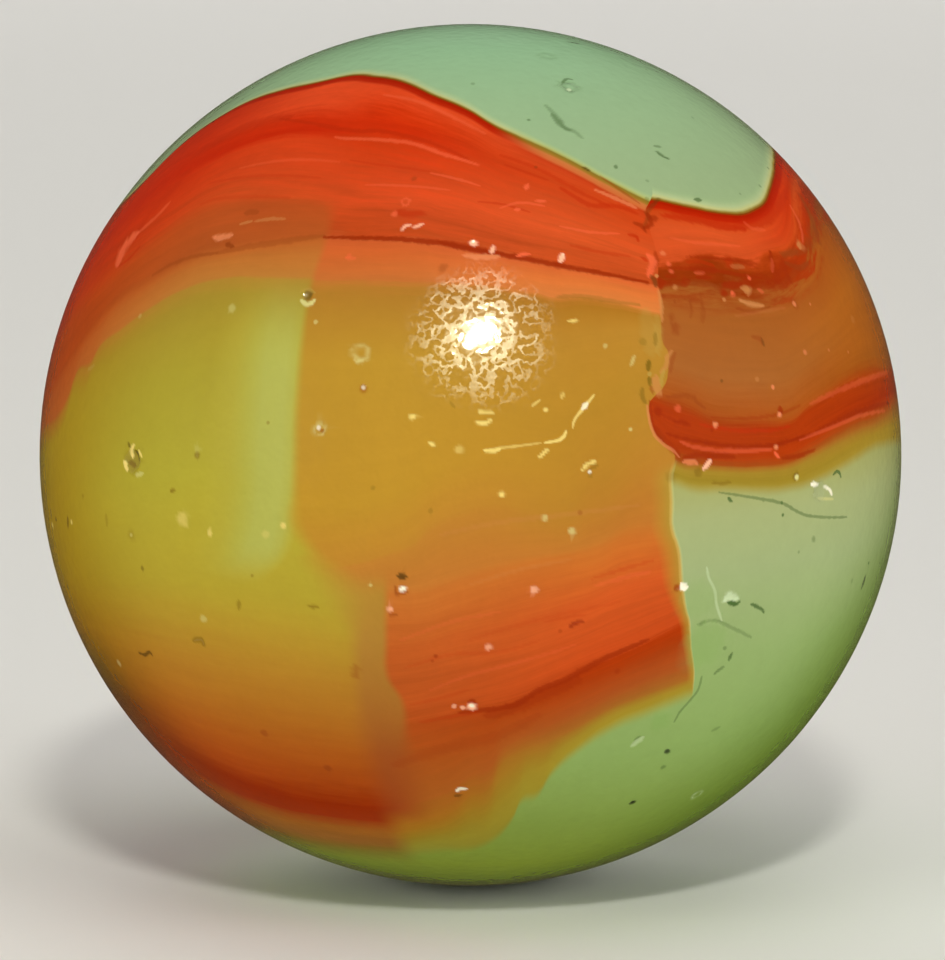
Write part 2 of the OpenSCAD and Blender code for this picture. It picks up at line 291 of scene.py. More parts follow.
MARKS = [
    # Streaks of the upper ribbon, left of the front seam
    line([(-65.4, 46.1), (-60.5, 50.2), (-55.5, 52.9), (-45.5, 55.4)], 0.3, EMBER, 0.45),
    line([(-48, 54.8), (-32.2, 54), (-24.4, 53.5), (-20.1, 53.7), (-10.8, 52.3), (-5.9, 50.9),
          (-0.5, 48.8)], 0.11, EMBER, 0.65),
    line([(-29.5, 52.2), (-25.8, 52), (-12.7, 51.6), (-5.8, 49.8), (1.4, 47.8)], 0.09, CORAL, 0.5),
    line([(-64.3, 32.8), (-65.1, 35.8), (-63.3, 39.9), (-62.1, 44.2)], 0.3, EMBER, 0.35),
    line([(-51.4, 39.3), (-48.6, 40.4), (-42.9, 41.1), (-32.3, 41.6)], 0.09, EMBER, 0.25),
    line([(-65.6, 29), (-66.7, 31.7), (-64.8, 33.6)], 0.28, CORAL, 0.75),
    line([(-64.8, 33.6), (-61.9, 36.5), (-60.6, 39)], 0.11, CORAL, 0.4),
    line([(-65.2, 28.7), (-62.7, 30.3), (-61.5, 32.1)], 0.07, EMBER, 0.6),
    line([(-54.1, 28.5), (-50.9, 30.3), (-47.2, 31.7), (-41.9, 32.7)], 0.09, RUSSET, 0.55),
    line([(-41.9, 32.7), (-32.6, 34.7), (-23.5, 36.2)], 0.13, RUSSET, 0.4),
    line([(-23.5, 36), (-17.5, 36.1), (-11.5, 36.1), (-4.6, 35.6), (2.7, 34.3), (12.9, 32.4),
          (19.3, 31.1), (26.6, 29.4)], 0.11, MAROON, 0.9),
    line([(-4.7, 35.8), (-0.1, 34.9), (3.3, 34.2)], 0.15, MAROON, 0.55),
    line([(-23.7, 61.2), (-13, 59.8), (-3.6, 56.5), (3.1, 53.4)], 0.09, CORAL, 0.4),
    line([(5.8, 49.5), (13, 46.8), (19.3, 43), (23.9, 40.7)], 0.09, EMBER, 0.45),
    line([(15.9, 43.8), (20.4, 41), (25.2, 40.6), (28.5, 39.3)], 0.11, EMBER, 0.6),
    line([(22.2, 43.3), (25.2, 41.9), (28.6, 40.2)], 0.09, PEACH, 0.6),
    line([(6.5, 47.8), (10.1, 46.5), (14, 45.1)], 0.06, EMBER, 0.5),
    line([(1.3, 41.8), (5.8, 41.3), (9.8, 40.1)], 0.06, EMBER, 0.45),
    line([(-7.4, 46.4), (-1.9, 45.3), (1.7, 44.3)], 0.06, CORAL, 0.4),
    line([(4.9, 40.8), (8.4, 41.6), (12.5, 41)], 0.06, CORAL, 0.4),
    line([(-18.9, 44.2), (-8.9, 44.1), (-3.6, 43.6)], 0.06, CORAL, 0.3),
    line([(24.1, 45.5), (26.9, 43.1), (29.6, 40.8)], 0.06, MAROON, 0.4),
    line([(-12.4, 40.1), (-10, 39.8), (-7.7, 40)], 0.15, EMBER, 0.55),
    line([(14.4, 37.9), (19.2, 36.9), (24.1, 36.5)], 0.06, CORAL, 0.4),
    line([(15.5, 35.1), (20, 34), (24.8, 33.2)], 0.07, EMBER, 0.35),
    line([(-23.6, 48.2), (-17.2, 47.6), (-7.5, 46.6)], 0.06, EMBER, 0.3),
    line([(-47.5, 45.6), (-36.6, 47.7), (-25.5, 47.8)], 0.07, CORAL, 0.25),
    line([(-52.7, 42.7), (-41.3, 44.7), (-28.1, 45)], 0.07, EMBER, 0.25),
    line([(-37.1, 37.7), (-34.4, 38.2), (-31.5, 38.4)], 0.07, TAN, 0.5),
    line([(-39.9, 37.1), (-37.7, 37.7)], 0.07, TAN, 0.6),
    line([(-40, 38.8), (-37.4, 39.1)], 0.13, RUSSET, 0.5),
    # Dark thread and streaks of the lower ribbon
    line([(-1.5, -26.5), (0.5, -26.2), (6.1, -25.4), (9.5, -23.1), (12.9, -21.8), (17.9, -19.1),
          (24, -16.7)], 0.13, MAROON, 0.68),
    line([(-7.2, -28.1), (-2.2, -27), (1.3, -26.4)], 0.09, EMBER, 0.28),
    line([(2.2, -27), (6.2, -25.8), (10.3, -23.8), (15, -21.9)], 0.24, MAROON, 0.38),
    line([(-11.9, -35.6), (-4.6, -32.7), (4.3, -30.1), (9.9, -27)], 0.26, MAROON, 0.22),
    line([(15.4, -8), (19.2, -7), (23.8, -6)], 0.07, EMBER, 0.3),
    line([(16, -8.9), (19.9, -8), (23.3, -7.5)], 0.09, CORAL, 0.25),
    line([(-0.1, -15.8), (6.4, -13.8), (12.8, -12.3), (19.5, -11.2)], 0.07, EMBER, 0.17),
    line([(-8.8, -19.9), (-2.7, -17.9), (3.9, -17.5), (9.1, -16)], 0.07, EMBER, 0.19),
    line([(-5.5, -23.1), (-0.1, -20.8), (6.6, -19), (13.8, -16.8)], 0.07, CORAL, 0.19),
    line([(-8.5, -25.4), (-4.2, -24.3), (-0.3, -23)], 0.07, EMBER, 0.22),
    line([(-0.1, -8.4), (6.2, -6.5), (12.6, -5.4)], 0.07, TAN, 0.19),
    line([(-9.2, -16), (-2.6, -13.4), (3.8, -12)], 0.07, CORAL, 0.17),
    line([(9.6, -13.5), (12.2, -13), (14.9, -12.7)], 0.06, EMBER, 0.22),
    line([(-3.8, -2), (3.7, -0.4), (11.2, 0.3), (21.7, 1.2)], 0.09, TAN, 0.22),
    # Streaks right of the front seam
    line([(33.1, 38.8), (39.2, 37.8), (43.6, 36.6), (49, 35.7)], 0.17, EMBER, 0.8),
    line([(47, 36.3), (53.7, 36.4), (61.6, 38), (69.7, 40.2)], 0.22, EMBER, 0.6),
    line([(74.8, 38.9), (71.7, 35.1), (68.5, 31.6)], 0.19, RUSSET, 0.6),
    line([(66.6, 38), (65.4, 35), (62.7, 32.5)], 0.07, CORAL, 0.4),
    line([(32.7, 35.5), (38, 34.4), (45.9, 33.4)], 0.07, CORAL, 0.25),
    line([(49.7, 36.7), (50.8, 35.7), (53.8, 35.2)], 0.09, CORAL, 0.25),
    line([(34.4, 32.6), (38.9, 32.3), (44.4, 31.2), (47.7, 30.1)], 0.07, MAROON, 0.45),
    line([(30.6, 31.3), (34.9, 30.9), (37.9, 30.6), (43.4, 29.5), (47.7, 28.7)], 0.09, MAROON, 0.7),
    line([(35, 29.7), (37.4, 29.5)], 0.09, MAROON, 0.6),
    line([(29.8, 30.1), (31.5, 30.1)], 0.09, MAROON, 0.6),
    dot((32.5, 28.9), 0.13, MAROON, 0.6),
    line([(39.3, 28.4), (41.6, 28.1), (43.1, 28.2)], 0.17, MAROON, 0.75),
    dot((39.1, 27.2), 0.15, MAROON, 0.7),
    line([(44, 28.7), (47.1, 27.8), (50.9, 27.9)], 0.22, MAROON, 0.55),
    line([(51.5, 30.7), (51.1, 28.9), (51.1, 26.8)], 0.19, MAROON, 0.4),
    line([(54.6, 30.3), (57.9, 29.3), (61.1, 29.8)], 0.13, RUSSET, 0.6),
    line([(34.1, 31.9), (36.6, 31.8), (39, 31.1)], 0.09, EMBER, 0.4),
    dot((40.7, 27), 0.13, CORAL, 0.4),
    line([(42.9, 27.4), (44.4, 27.6), (43.4, 26.6)], 0.09, TAN, 0.5),
    dot((38.7, 26.4), 0.09, TAN, 0.7),
    line([(41.6, 26.1), (43.3, 25.5), (45.8, 25)], 0.11, TAN, 0.75, depth=0.01),
    line([(40.5, 25), (43.3, 24.5), (47.1, 24.8)], 0.07, RUSSET, 0.6),
    dot((52.7, 24.7), 0.11, PEACH, 0.7),
    ring((52.7, 24.7), 0.2, RUSSET, 0.5),
    dot((56.6, 24.3), 0.07, PEACH, 0.5),
    line([(30.2, 26.9), (30.1, 26.5)], 0.07, RUSSET, 0.6),
    line([(32.5, 26.6), (32.7, 25.7), (32.1, 24.4)], 0.07, RUSSET, 0.45),
    line([(34.6, 26.3), (34.6, 25), (33.9, 23.6)], 0.07, RUSSET, 0.45),
    dot((29.4, 23.3), 0.19, RUSSET, 0.35),
    dot((29.1, 24.7), 0.15, RUSSET, 0.35),
    line([(39.8, 24.1), (44.8, 24.3), (50.3, 24.4)], 0.07, PEACH, 0.1),
    line([(41.9, 21.2), (43.3, 20.8), (43.5, 20)], 0.09, RUSSET, 0.6),
    line([(43.6, 20.8), (43.7, 19.8)], 0.07, UMBER_SPECK_AND_SHADE, 0.45),
    dot((51.7, 18.3), 0.11, PEACH, 0.55),
    dot((57.6, 18), 0.07, PEACH, 0.35),
    dot((62.9, 17.2), 0.07, PEACH, 0.35),
    dot((68, 21), 0.17, TAN, 0.25),
    dot((35.1, 16), 0.07, UMBER_SPECK_AND_SHADE, 0.5),
    dot((43.7, 14.5), 0.09, PEACH, 0.8),
    dot((41.1, 15.7), 0.09, TAN, 0.4),
    line([(26.3, 14.5), (29.8, 14.4), (30.7, 13.6), (31.8, 12.7)], 0.09, RUSSET, 0.55),
    dot((27.8, 13), 0.13, CORAL, 0.5),
    line([(25.4, 12.3), (27.2, 11.4), (29.4, 10.5)], 0.07, MAROON, 0.55),
    line([(26.9, 11.3), (28.2, 11.3), (29.3, 10.8)], 0.07, MAROON, 0.8),
    line([(25.8, 9.9), (27.9, 9.2), (30.9, 8.5), (35.6, 7.6), (41.1, 7.2), (47.4, 7.6),
          (51.9, 8)], 0.09, MAROON, 0.85),
    line([(27.7, 8.8), (29.3, 8.1), (32.9, 7.3), (37.5, 6.9), (42, 6.7)], 0.09, CORAL, 0.35),
    line([(28, 6.7), (30, 6.9), (33, 6.6), (35.8, 6.2)], 0.13, MAROON, 0.75),
    line([(30.8, 10.7), (36.2, 9.6), (42.1, 9.1), (45.9, 9.3)], 0.07, EMBER, 0.5),
    line([(32.7, 11.5), (37.2, 11), (43.3, 10.9), (48.4, 11.7)], 0.07, MAROON, 0.4),
    line([(43.8, 5.4), (47.3, 5.4), (50.4, 5.8)], 0.09, MAROON, 0.7),
    line([(51, 8.1), (59.4, 9.2), (66.3, 9.4), (75.4, 9)], 0.11, MAROON, 0.75),
    line([(47.5, 7.3), (54.2, 8.2), (62.6, 8.8), (72.5, 8.3)], 0.07, CORAL, 0.35),
    line([(50.5, 11.7), (58.1, 12.7), (68.3, 13.1), (78.7, 12.7)], 0.11, CORAL, 0.3),
    dot((24.8, 12.7), 0.17, MAROON, 0.9),
    dot((33.1, 10.5), 0.11, PEACH, 0.9, depth=0.01),
    dot((32.5, 9.9), 0.07, MAROON, 0.7),
    line([(44.4, 11.9), (44.5, 11.1)], 0.13, MAROON, 0.8),
    dot((44.2, 10.9), 0.1, PEACH, 0.95, depth=0.01),
    dot((42.9, 6.9), 0.1, PEACH, 0.9, depth=0.01),
    line([(42.5, 6.3), (43.3, 5.5)], 0.07, CORAL, 0.8),
    line([(51.9, 30.2), (50.3, 27.8)], 0.26, MAROON, 0.35),
    line([(81.9, 36.5), (70.7, 34), (62.8, 31.7)], 0.3, RUSSET, 0.5),
    dot((61.5, 32.1), 0.26, TAN, 0.4),
    line([(52.4, 32.1), (51.3, 30.7)], 0.11, MAROON, 0.6),
    line([(52.6, 30.5), (57.7, 29.3)], 0.33, MAROON, 0.3),
    dot((54, 28), 0.17, MAROON, 0.35),
    line([(54.9, 31.3), (59.7, 31.7)], 0.17, RUSSET, 0.5),
    dot((42.2, 31.4), 0.22, EMBER, 0.4),
    line([(42.9, 28.7), (45.2, 28.2)], 0.15, MAROON, 0.45),
    dot((38.9, 27.4), 0.17, MAROON, 0.4),
    # Torn brown edge of the ribbon right of the front seam
    line([(54.2, 30.5), (53.1, 28.8), (52, 27.1)], 0.28, MAROON, 0.45),
    line([(35.1, 32.6), (38, 32.3), (41, 31.9)], 0.07, MAROON, 0.6),
    line([(41, 31.9), (44.5, 31.4), (47.9, 30.7)], 0.09, MAROON, 0.55),
    line([(39.6, 28.5), (42.2, 28.2), (44.9, 27.8)], 0.13, MAROON, 0.55),
    line([(45.9, 29.4), (47.8, 28.9), (49.2, 28.2)], 0.15, MAROON, 0.4),
    line([(28.8, 29.1), (30.5, 29.2), (32.3, 29.2)], 0.11, MAROON, 0.4),
    dot((52.2, 32.1), 0.09, MAROON, 0.8),
    line([(51.8, 31.1), (50.5, 29.3)], 0.09, CORAL, 0.25),
    line([(54.5, 31.7), (58.3, 31.4), (62.3, 31.3)], 0.13, RUSSET, 0.5),
    line([(61.4, 32.6), (60.7, 31.8)], 0.11, TAN, 0.6),
    line([(42.3, 30.8), (44.8, 30.5)], 0.11, TAN, 0.3),
    dot((45, 28.9), 0.09, CORAL, 0.6),
    line([(42.6, 27.7), (43.8, 27.6), (43.1, 27)], 0.11, TAN, 0.6),
    dot((40.6, 27.2), 0.09, CORAL, 0.5),
    line([(45.9, 27.3), (46.8, 26.8)], 0.09, CORAL, 0.4),
    dot((30.5, 33.4), 0.11, PEACH, 0.5),
    line([(34, 29.3), (36, 28.9), (38, 28.3)], 0.11, RUSSET, 0.5),
    # Front seam, from the top down
    line([(33.8, 41.4), (32.3, 40.6), (30.4, 39.5), (30.1, 38.6), (28.7, 37.3)], 0.09, UMBER_SPECK_AND_SHADE, 0.45),
    line([(30.3, 39.3), (30.2, 37.7), (28.7, 37.1)], 0.11, MAROON, 0.8),
    dot((31.3, 38.5), 0.15, MAROON, 0.7),
    line([(27.1, 38), (28.3, 37.5), (28.8, 36.5)], 0.09, MAROON, 0.7),
    line([(25.5, 36.3), (26.8, 36), (26.9, 35.3)], 0.07, EMBER, 0.8),
    line([(26.6, 33), (27.5, 32.4)], 0.07, EMBER, 0.6),
    line([(29.2, 33.6), (28.9, 32.2), (27.8, 31.1)], 0.09, MAROON, 0.6),
    line([(27.8, 33.3), (28.3, 32.2), (26.9, 30.3)], 0.15, CORAL, 0.7),
    line([(27.3, 30.3), (27.8, 29.7), (27.7, 28.9)], 0.11, UMBER_SPECK_AND_SHADE, 0.6),
    dot((28.3, 30.3), 0.09, TAN, 0.9),
    line([(28.6, 30), (28.5, 28.6)], 0.13, MAROON, 0.9),
    dot((30.9, 31.8), 0.11, CORAL, 0.6),
    dot((30.9, 30.8), 0.1, CORAL, 0.55),
    dot((30.8, 28.6), 0.11, TAN, 0.6),
    line([(35, 30.3), (36.7, 30.3)], 0.09, CORAL, 0.45),
    dot((28.9, 29.4), 0.17, MAROON, 0.8),
    line([(34.4, 31.1), (36.7, 30.8), (39.1, 30.5)], 0.19, MAROON, 0.6),
    dot((33, 29.3), 0.17, MAROON, 0.6),
    line([(35.1, 29.8), (37.8, 29.5)], 0.09, MAROON, 0.55),
    line([(27.9, 28.4), (27.9, 27), (27.7, 25.5), (27.4, 24.1)], 0.07, TAN, 0.7),
    line([(25.2, 25.5), (25.2, 23.2), (24.9, 20.3)], 0.37, BRASS, 0.28),
    line([(26.8, 24.9), (26.4, 22.4), (26, 20)], 0.17, BRASS, 0.35),
    dot((24, 21.7), 0.15, DRAB, 0.4),
    line([(26, 22.7), (25.7, 21.2)], 0.08, DRAB, 0.5),
    line([(24.4, 19.2), (24.1, 18)], 0.1, DRAB, 0.95),
    dot((24.2, 17.5), 0.08, BRASS, 0.9),
    line([(24.1, 17.1), (24.1, 16.1)], 0.09, DRAB, 0.85),
    line([(24.2, 16), (24.4, 15.1)], 0.08, RUSSET, 0.6),
    line([(28.1, 20.3), (27.2, 19.5), (26.9, 18.4), (25.8, 17.6)], 0.09, TAN, 0.6),
    line([(25.1, 17.2), (25, 15.9), (25.4, 14.8)], 0.17, TAN, 0.65),
    line([(26.4, 17.9), (25.9, 16.8), (25.8, 16)], 0.09, BRASS, 0.6),
    line([(28.5, 20), (27.8, 18.9), (27.3, 17.6)], 0.09, RUSSET, 0.45),
    dot((29.2, 23.2), 0.19, RUSSET, 0.5),
    line([(29, 24.9), (28.8, 23.5)], 0.07, RUSSET, 0.4),
    line([(32.9, 26.9), (32.5, 25.5)], 0.07, RUSSET, 0.3),
    line([(34.8, 27.7), (34.5, 25.8), (33.6, 23.7)], 0.07, RUSSET, 0.35),
    line([(24.2, 10.7), (25, 9.4), (26.2, 8.3), (27.4, 7.1)], 0.15, MAROON, 0.5),
    line([(23, 15.8), (22.8, 14.8), (23.2, 13.9)], 0.09, DRAB, 0.6),
    line([(23.8, 14.2), (23.8, 12.7), (23.9, 11.1), (24.4, 9.9), (25.3, 8.9)], 0.06, MAROON, 0.6),
    line([(23.4, 13.6), (23.4, 12.6), (23.6, 11.2), (24.1, 9.8), (25.2, 8.6), (26.6, 7.7),
          (27.4, 6.8)], 0.06, PEACH, 0.5),
    line([(27.9, 6.2), (29.5, 6.1), (29.9, 5.7)], 0.09, PEACH, 0.7),
    line([(30.8, 5.1), (32, 6.1)], 0.09, ROSE_CHIP_AND_GLINT, 0.95, depth=0.012),
    dot((30, 4.8), 0.17, DRAB, 0.6),
    dot((26.1, 4.4), 0.19, DRAB, 0.35),
    line([(32.1, 3.3), (33.6, 3.1), (35, 3.2)], 0.07, DRAB, 0.6),
    # Chips and specks right of the front seam
    line([(46.5, 3.2), (46.1, 2.5)], 0.15, DRAB, 0.7, depth=0.015),
    dot((46.5, 2.7), 0.09, PALE, 0.95),
    line([(54.2, 2.1), (55.1, 2.5), (55.9, 2.1), (56.1, 1.6)], 0.06, MOSS, 0.85, depth=0.01),
    # Crater with painted glints round its rim
    line([(49.3, 1.5), (50.3, 1.3), (51, 1.2)], 0.09, IVORY_CHIP_AND_GLINT, 0.95),
    line([(52.1, 0.9), (53.2, 0.4), (53.9, -0.4)], 0.07, IVORY_CHIP_AND_GLINT, 0.8),
    line([(54.2, -1), (52.8, -0.8), (50.8, -0.5)], 0.06, PALE, 0.5),
    dot((51.2, 0.4), 0.37, SAGE, 0.5, depth=0.04),
    line([(33.1, 2), (37.9, 1), (43.5, -0.3), (46.1, -1.5), (48.7, -2.5), (53.6, -3.3),
          (57.9, -3.8)], 0.06, MOSS, 0.55),
    line([(34.5, 1.2), (35.1, 0.7)], 0.07, MOSS, 0.9, depth=0.01),
    dot((43.6, -0.3), 0.07, MOSS, 0.7),
    dot((43.8, -1.9), 0.07, MOSS, 0.85),
    dot((50.3, -5.7), 0.11, MOSS, 0.45),
    dot((47.4, -7.1), 0.07, MOSS, 0.35),
    # Pit with painted glints in it
    dot((28.3, -9.8), 0.15, IVORY_CHIP_AND_GLINT, 0.95, depth=0.02),
    line([(27.9, -9.3), (28.5, -10.2), (29, -9.8)], 0.06, IVORY_CHIP_AND_GLINT, 0.95),
    dot((27.4, -9.9), 0.13, MAROON, 0.7),
    line([(34.9, -12.2), (35.8, -11.8), (37.2, -12.2)], 0.17, MINT_PALE, 0.85, depth=0.025),
    line([(35.6, -12.5), (36.9, -12.9), (37.6, -12.6)], 0.09, MOSS, 0.95),
    line([(39.7, -13.2), (40.6, -13.6), (41.9, -14.2), (42.4, -14.7)], 0.07, MOSS, 0.85, depth=0.012),
    line([(31.6, -7.5), (32.1, -9), (33.2, -10.7), (33.9, -12.9), (35.1, -15)], 0.06, MINT_PALE, 0.45),
    line([(31.2, -15.2), (32.2, -15), (34, -14.9), (37.1, -16.2), (39.1, -17.1),
          (41, -18)], 0.07, MOSS, 0.35, depth=0.008),
    line([(31.6, -15.3), (32.2, -14.8)], 0.09, MOSS, 0.35),
    dot((33.1, -18.2), 0.89, FERN, 0.35),
    dot((31.1, -11.8), 0.74, FERN, 0.2),
    dot((36.6, -19), 0.09, MOSS, 0.5),
    line([(38.1, -19.9), (37.9, -21)], 0.07, MOSS, 0.8, depth=0.01),
    line([(37.3, -21.8), (36.4, -22.3), (35.9, -22.8)], 0.07, MOSS, 0.55, depth=0.01),
    line([(33.8, -22.8), (33.8, -24.9), (32.7, -26.8), (31.8, -28.1),
          (31.4, -29.7)], 0.06, MOSS, 0.45, depth=0.006),
    dot((28.9, -29.4), 0.41, FERN, 0.45),
    line([(25.4, -33.1), (26.1, -32.3), (26.8, -31.7)], 0.13, MINT_PALE, 0.4, depth=0.012),
    line([(25.4, -32.1), (26.2, -31.5)], 0.06, MOSS, 0.4),
    dot((32.3, -34.8), 0.13, NIGHT, 0.85, depth=0.02),
    dot((33, -37.7), 0.11, MOSS, 0.5),
    dot((30.9, -44.7), 0.13, NIGHT, 0.95, depth=0.03),
    line([(39.6, -32.1), (41, -31.6)], 0.07, MOSS, 0.35),
    line([(67.3, -13), (66.8, -14.6)], 0.09, NIGHT, 0.9, depth=0.02),
    dot((67.2, -11.2), 0.07, MOSS, 0.7),
    dot((73.3, -12.1), 0.06, MOSS, 0.6),
    dot((62.2, -12.9), 0.09, MOSS, 0.25),
    ring((46.9, -45.3), 0.24, MINT_PALE, 0.35, depth=0.01),
    line([(77.4, -1.6), (79.8, -4.6)], 0.06, MOSS, 0.35),
    # Marks of the yellow and brown glass
    line([(-44, 34.9), (-42.7, 34.9), (-40.7, 35.4)], 0.15, PEACH, 0.75, depth=0.02),
    line([(-40.9, 34.1), (-39.2, 33.8)], 0.11, RUSSET, 0.9),
    dot((-23.8, 27.9), 0.2, DRAB, 0.9, depth=0.04),
    line([(-24.7, 27.2), (-23.5, 26.6), (-22.5, 27.3)], 0.09, PALE, 0.9),
    line([(-25.1, 28.2), (-24, 28.7), (-22.7, 28.2)], 0.06, BRASS, 0.6),
    dot((-35.6, 25.4), 0.15, PALE, 0.35),
    dot((-21.8, 24.4), 0.07, PALE, 0.5),
    # Crater in the yellow glass: painted glints along its rim, mostly on the left, and painted shade
    # along its top
    dot((-48.9, 4.6), 0.45, DRAB, 0.4, depth=0.05),
    line([(-48.8, 6.6), (-49.4, 5.7), (-49.3, 4.9)], 0.09, LEMON_SPECK_AND_GLINT, 0.95),
    line([(-50.7, 4.3), (-50, 3.2)], 0.09, LEMON_SPECK_AND_GLINT, 0.9),
    line([(-47.8, 6), (-47.1, 5.2)], 0.06, LEMON_SPECK_AND_GLINT, 0.8),
    line([(-50, 6.7), (-49.6, 6.1)], 0.07, UMBER_SPECK_AND_SHADE, 0.7),
    line([(-48.6, 6), (-47.9, 5.4), (-47.8, 4.8)], 0.07, UMBER_SPECK_AND_SHADE, 0.7),
    line([(-49.8, 4.3), (-48.6, 3.9)], 0.11, DRAB, 0.8),
    line([(-48.1, 2.8), (-46.7, 3.2)], 0.09, PALE, 0.5),
    dot((-37.3, 6.4), 0.13, DRAB, 0.6, depth=0.012),
    dot((-37.4, 7.1), 0.15, PALE, 0.2),
    dot((-39.5, -2), 0.26, LEMON_SPECK_AND_GLINT, 0.45),
    line([(-41.6, 1.4), (-40.8, 1.6)], 0.07, DRAB, 0.7),
    dot((-26.8, 11.2), 0.07, DRAB, 0.5),
    dot((-49.4, -5.1), 0.2, DRAB, 0.25),
    dot((-49.4, -5.1), 0.07, PALE, 0.4),
    line([(-54.8, -3), (-54.7, -4.6)], 0.09, DRAB, 0.35),
    dot((-60.8, -1.4), 0.09, DRAB, 0.4),
    line([(-66.3, -4.9), (-66.7, -6.3)], 0.09, UMBER_SPECK_AND_SHADE, 0.7),
    dot((-65.1, -5.4), 0.09, LEMON_SPECK_AND_GLINT, 0.7),
    dot((-74.5, -7.2), 0.11, LEMON_SPECK_AND_GLINT, 0.8),
    dot((-71.9, -6), 0.09, UMBER_SPECK_AND_SHADE, 0.6),
    dot((-35.1, -3.4), 0.11, LEMON_SPECK_AND_GLINT, 0.6),
    dot((-24.2, -1.6), 0.11, LEMON_SPECK_AND_GLINT, 0.7),
    dot((-26.6, -2.9), 0.15, LEMON_SPECK_AND_GLINT, 0.25),
    line([(-63, 14.8), (-61.5, 15.5)], 0.07, BRASS, 0.6),
    dot((-53.3, 23), 0.09, PALE, 0.2),
    line([(-31.4, -12), (-31.6, -13.1)], 0.09, DRAB, 0.55),
    dot((-29, -8.4), 0.07, DRAB, 0.5),
    line([(-21.3, -11.9), (-19.9, -11.9)], 0.07, DRAB, 0.7),
    dot((-37.8, -15), 0.15, PALE, 0.4),
    line([(-40.5, -18.4), (-39, -18.1), (-38.7, -18.9)], 0.13, DRAB, 0.55, depth=0.01),
    line([(-53.4, -21.8), (-52, -21.9), (-50.7, -21.3), (-50.1, -21.8)], 0.07, UMBER_SPECK_AND_SHADE, 0.75),
    dot((-61.1, -24.5), 0.13, PALE, 0.35),
    dot((-47.8, -9.3), 0.09, UMBER_SPECK_AND_SHADE, 0.5),
    line([(-15.5, -19.7), (-15.8, -21.6)], 0.15, RUSSET, 0.4),
    dot((-23.4, -36.9), 0.17, RUSSET, 0.6),
    dot((-32.7, -31.6), 0.15, RUSSET, 0.5),
    # Marks of the amber glass and the ribbon under it
    ring((-14.8, 20.7), 0.33, PALE, 0.4, depth=0.008),
    line([(-15.3, 19.4), (-14.4, 19.7)], 0.07, PALE, 0.45),
    # Pits with painted glints in them
    dot((-14.1, 16), 0.15, RUSSET, 0.5),
    dot((-14.1, 16.2), 0.07, IVORY_CHIP_AND_GLINT, 0.5),
    ring((-19.6, 10.8), 0.24, PALE, 0.4, depth=0.01),
    dot((-19.7, 11), 0.09, IVORY_CHIP_AND_GLINT, 0.6),
    dot((-19.2, 10.6), 0.07, RUSSET, 0.6),
    # Painted glints along fine scratches and pits that catch the lamp below the highlight
    dot((-7.4, 12.7), 0.11, LEMON_SPECK_AND_GLINT, 0.85),
    line([(-5.4, 9.6), (-4.4, 9.1)], 0.07, LEMON_SPECK_AND_GLINT, 0.9, depth=0.006),
    dot((-1.4, 8.7), 0.15, LEMON_SPECK_AND_GLINT, 0.4, depth=0.008),
    line([(16.2, 15.2), (14.7, 13.7), (13.4, 12.2), (13.1, 11.2)], 0.06, LEMON_SPECK_AND_GLINT, 0.7, depth=0.008),
    line([(12.3, 10.9), (11.5, 9.8), (9.4, 9.4)], 0.06, LEMON_SPECK_AND_GLINT, 0.8, depth=0.008),
    line([(15.2, 14.2), (14.5, 13.5)], 0.09, IVORY_CHIP_AND_GLINT, 0.6),
    line([(8.9, 9.4), (6.2, 9.1), (1.7, 8.6)], 0.05, LEMON_SPECK_AND_GLINT, 0.45),
    line([(1.7, 8.6), (2.8, 8.5), (3.8, 8.7)], 0.07, LEMON_SPECK_AND_GLINT, 0.8),
    line([(9.8, 8.6), (8.5, 7.5)], 0.07, LEMON_SPECK_AND_GLINT, 0.8, depth=0.006),
    line([(0.7, 12.1), (1.7, 12), (2.7, 12.3)], 0.07, LEMON_SPECK_AND_GLINT, 0.85, depth=0.006),
    line([(1, 13.4), (2, 13.3), (2.8, 13.3)], 0.07, LEMON_SPECK_AND_GLINT, 0.7),
    dot((9.7, 13.5), 0.09, LEMON_SPECK_AND_GLINT, 0.7),
    line([(7.9, 14), (9, 14.8)], 0.06, LEMON_SPECK_AND_GLINT, 0.5),
    line([(11.8, 15), (12.2, 15.7)], 0.07, LEMON_SPECK_AND_GLINT, 0.5),
    line([(13.6, 24.7), (14.9, 24.9)], 0.07, LEMON_SPECK_AND_GLINT, 0.7),
    line([(14.2, 5.9), (14.9, 6.6), (16, 6.9)], 0.07, LEMON_SPECK_AND_GLINT, 0.8, depth=0.012),
    line([(15.2, 6), (16.1, 6.4)], 0.07, DRAB, 0.5),
    dot((15.1, 5.6), 0.07, IVORY_CHIP_AND_GLINT, 0.7),
    line([(-2.6, 14.6), (-2, 13.9)], 0.06, DRAB, 0.35),
    dot((12.3, 47.3), 0.07, UMBER_SPECK_AND_SHADE, 0.4),
    # Painted glints on small chips in the red glass near the highlight
    line([(13.5, 32.8), (14.1, 33.9)], 0.11, ROSE_CHIP_AND_GLINT, 0.95, depth=0.015),
    line([(12.9, 32.8), (13, 32), (14.1, 32.2)], 0.07, MAROON, 0.6),
    dot((0.5, 35.6), 0.13, ROSE_CHIP_AND_GLINT, 0.95, depth=0.015),
    line([(3.1, 34.2), (3.6, 35.2)], 0.09, ROSE_CHIP_AND_GLINT, 0.85, depth=0.01),
    line([(-1, 33.9), (1.6, 33.6), (4.2, 33.7)], 0.11, PEACH, 0.8),
    line([(-10.9, 37.4), (-10.5, 38), (-9.6, 38.2)], 0.07, ROSE_CHIP_AND_GLINT, 0.75, depth=0.01),
    line([(-9.2, 37.8), (-7.6, 38.4)], 0.07, ROSE_CHIP_AND_GLINT, 0.75, depth=0.01),
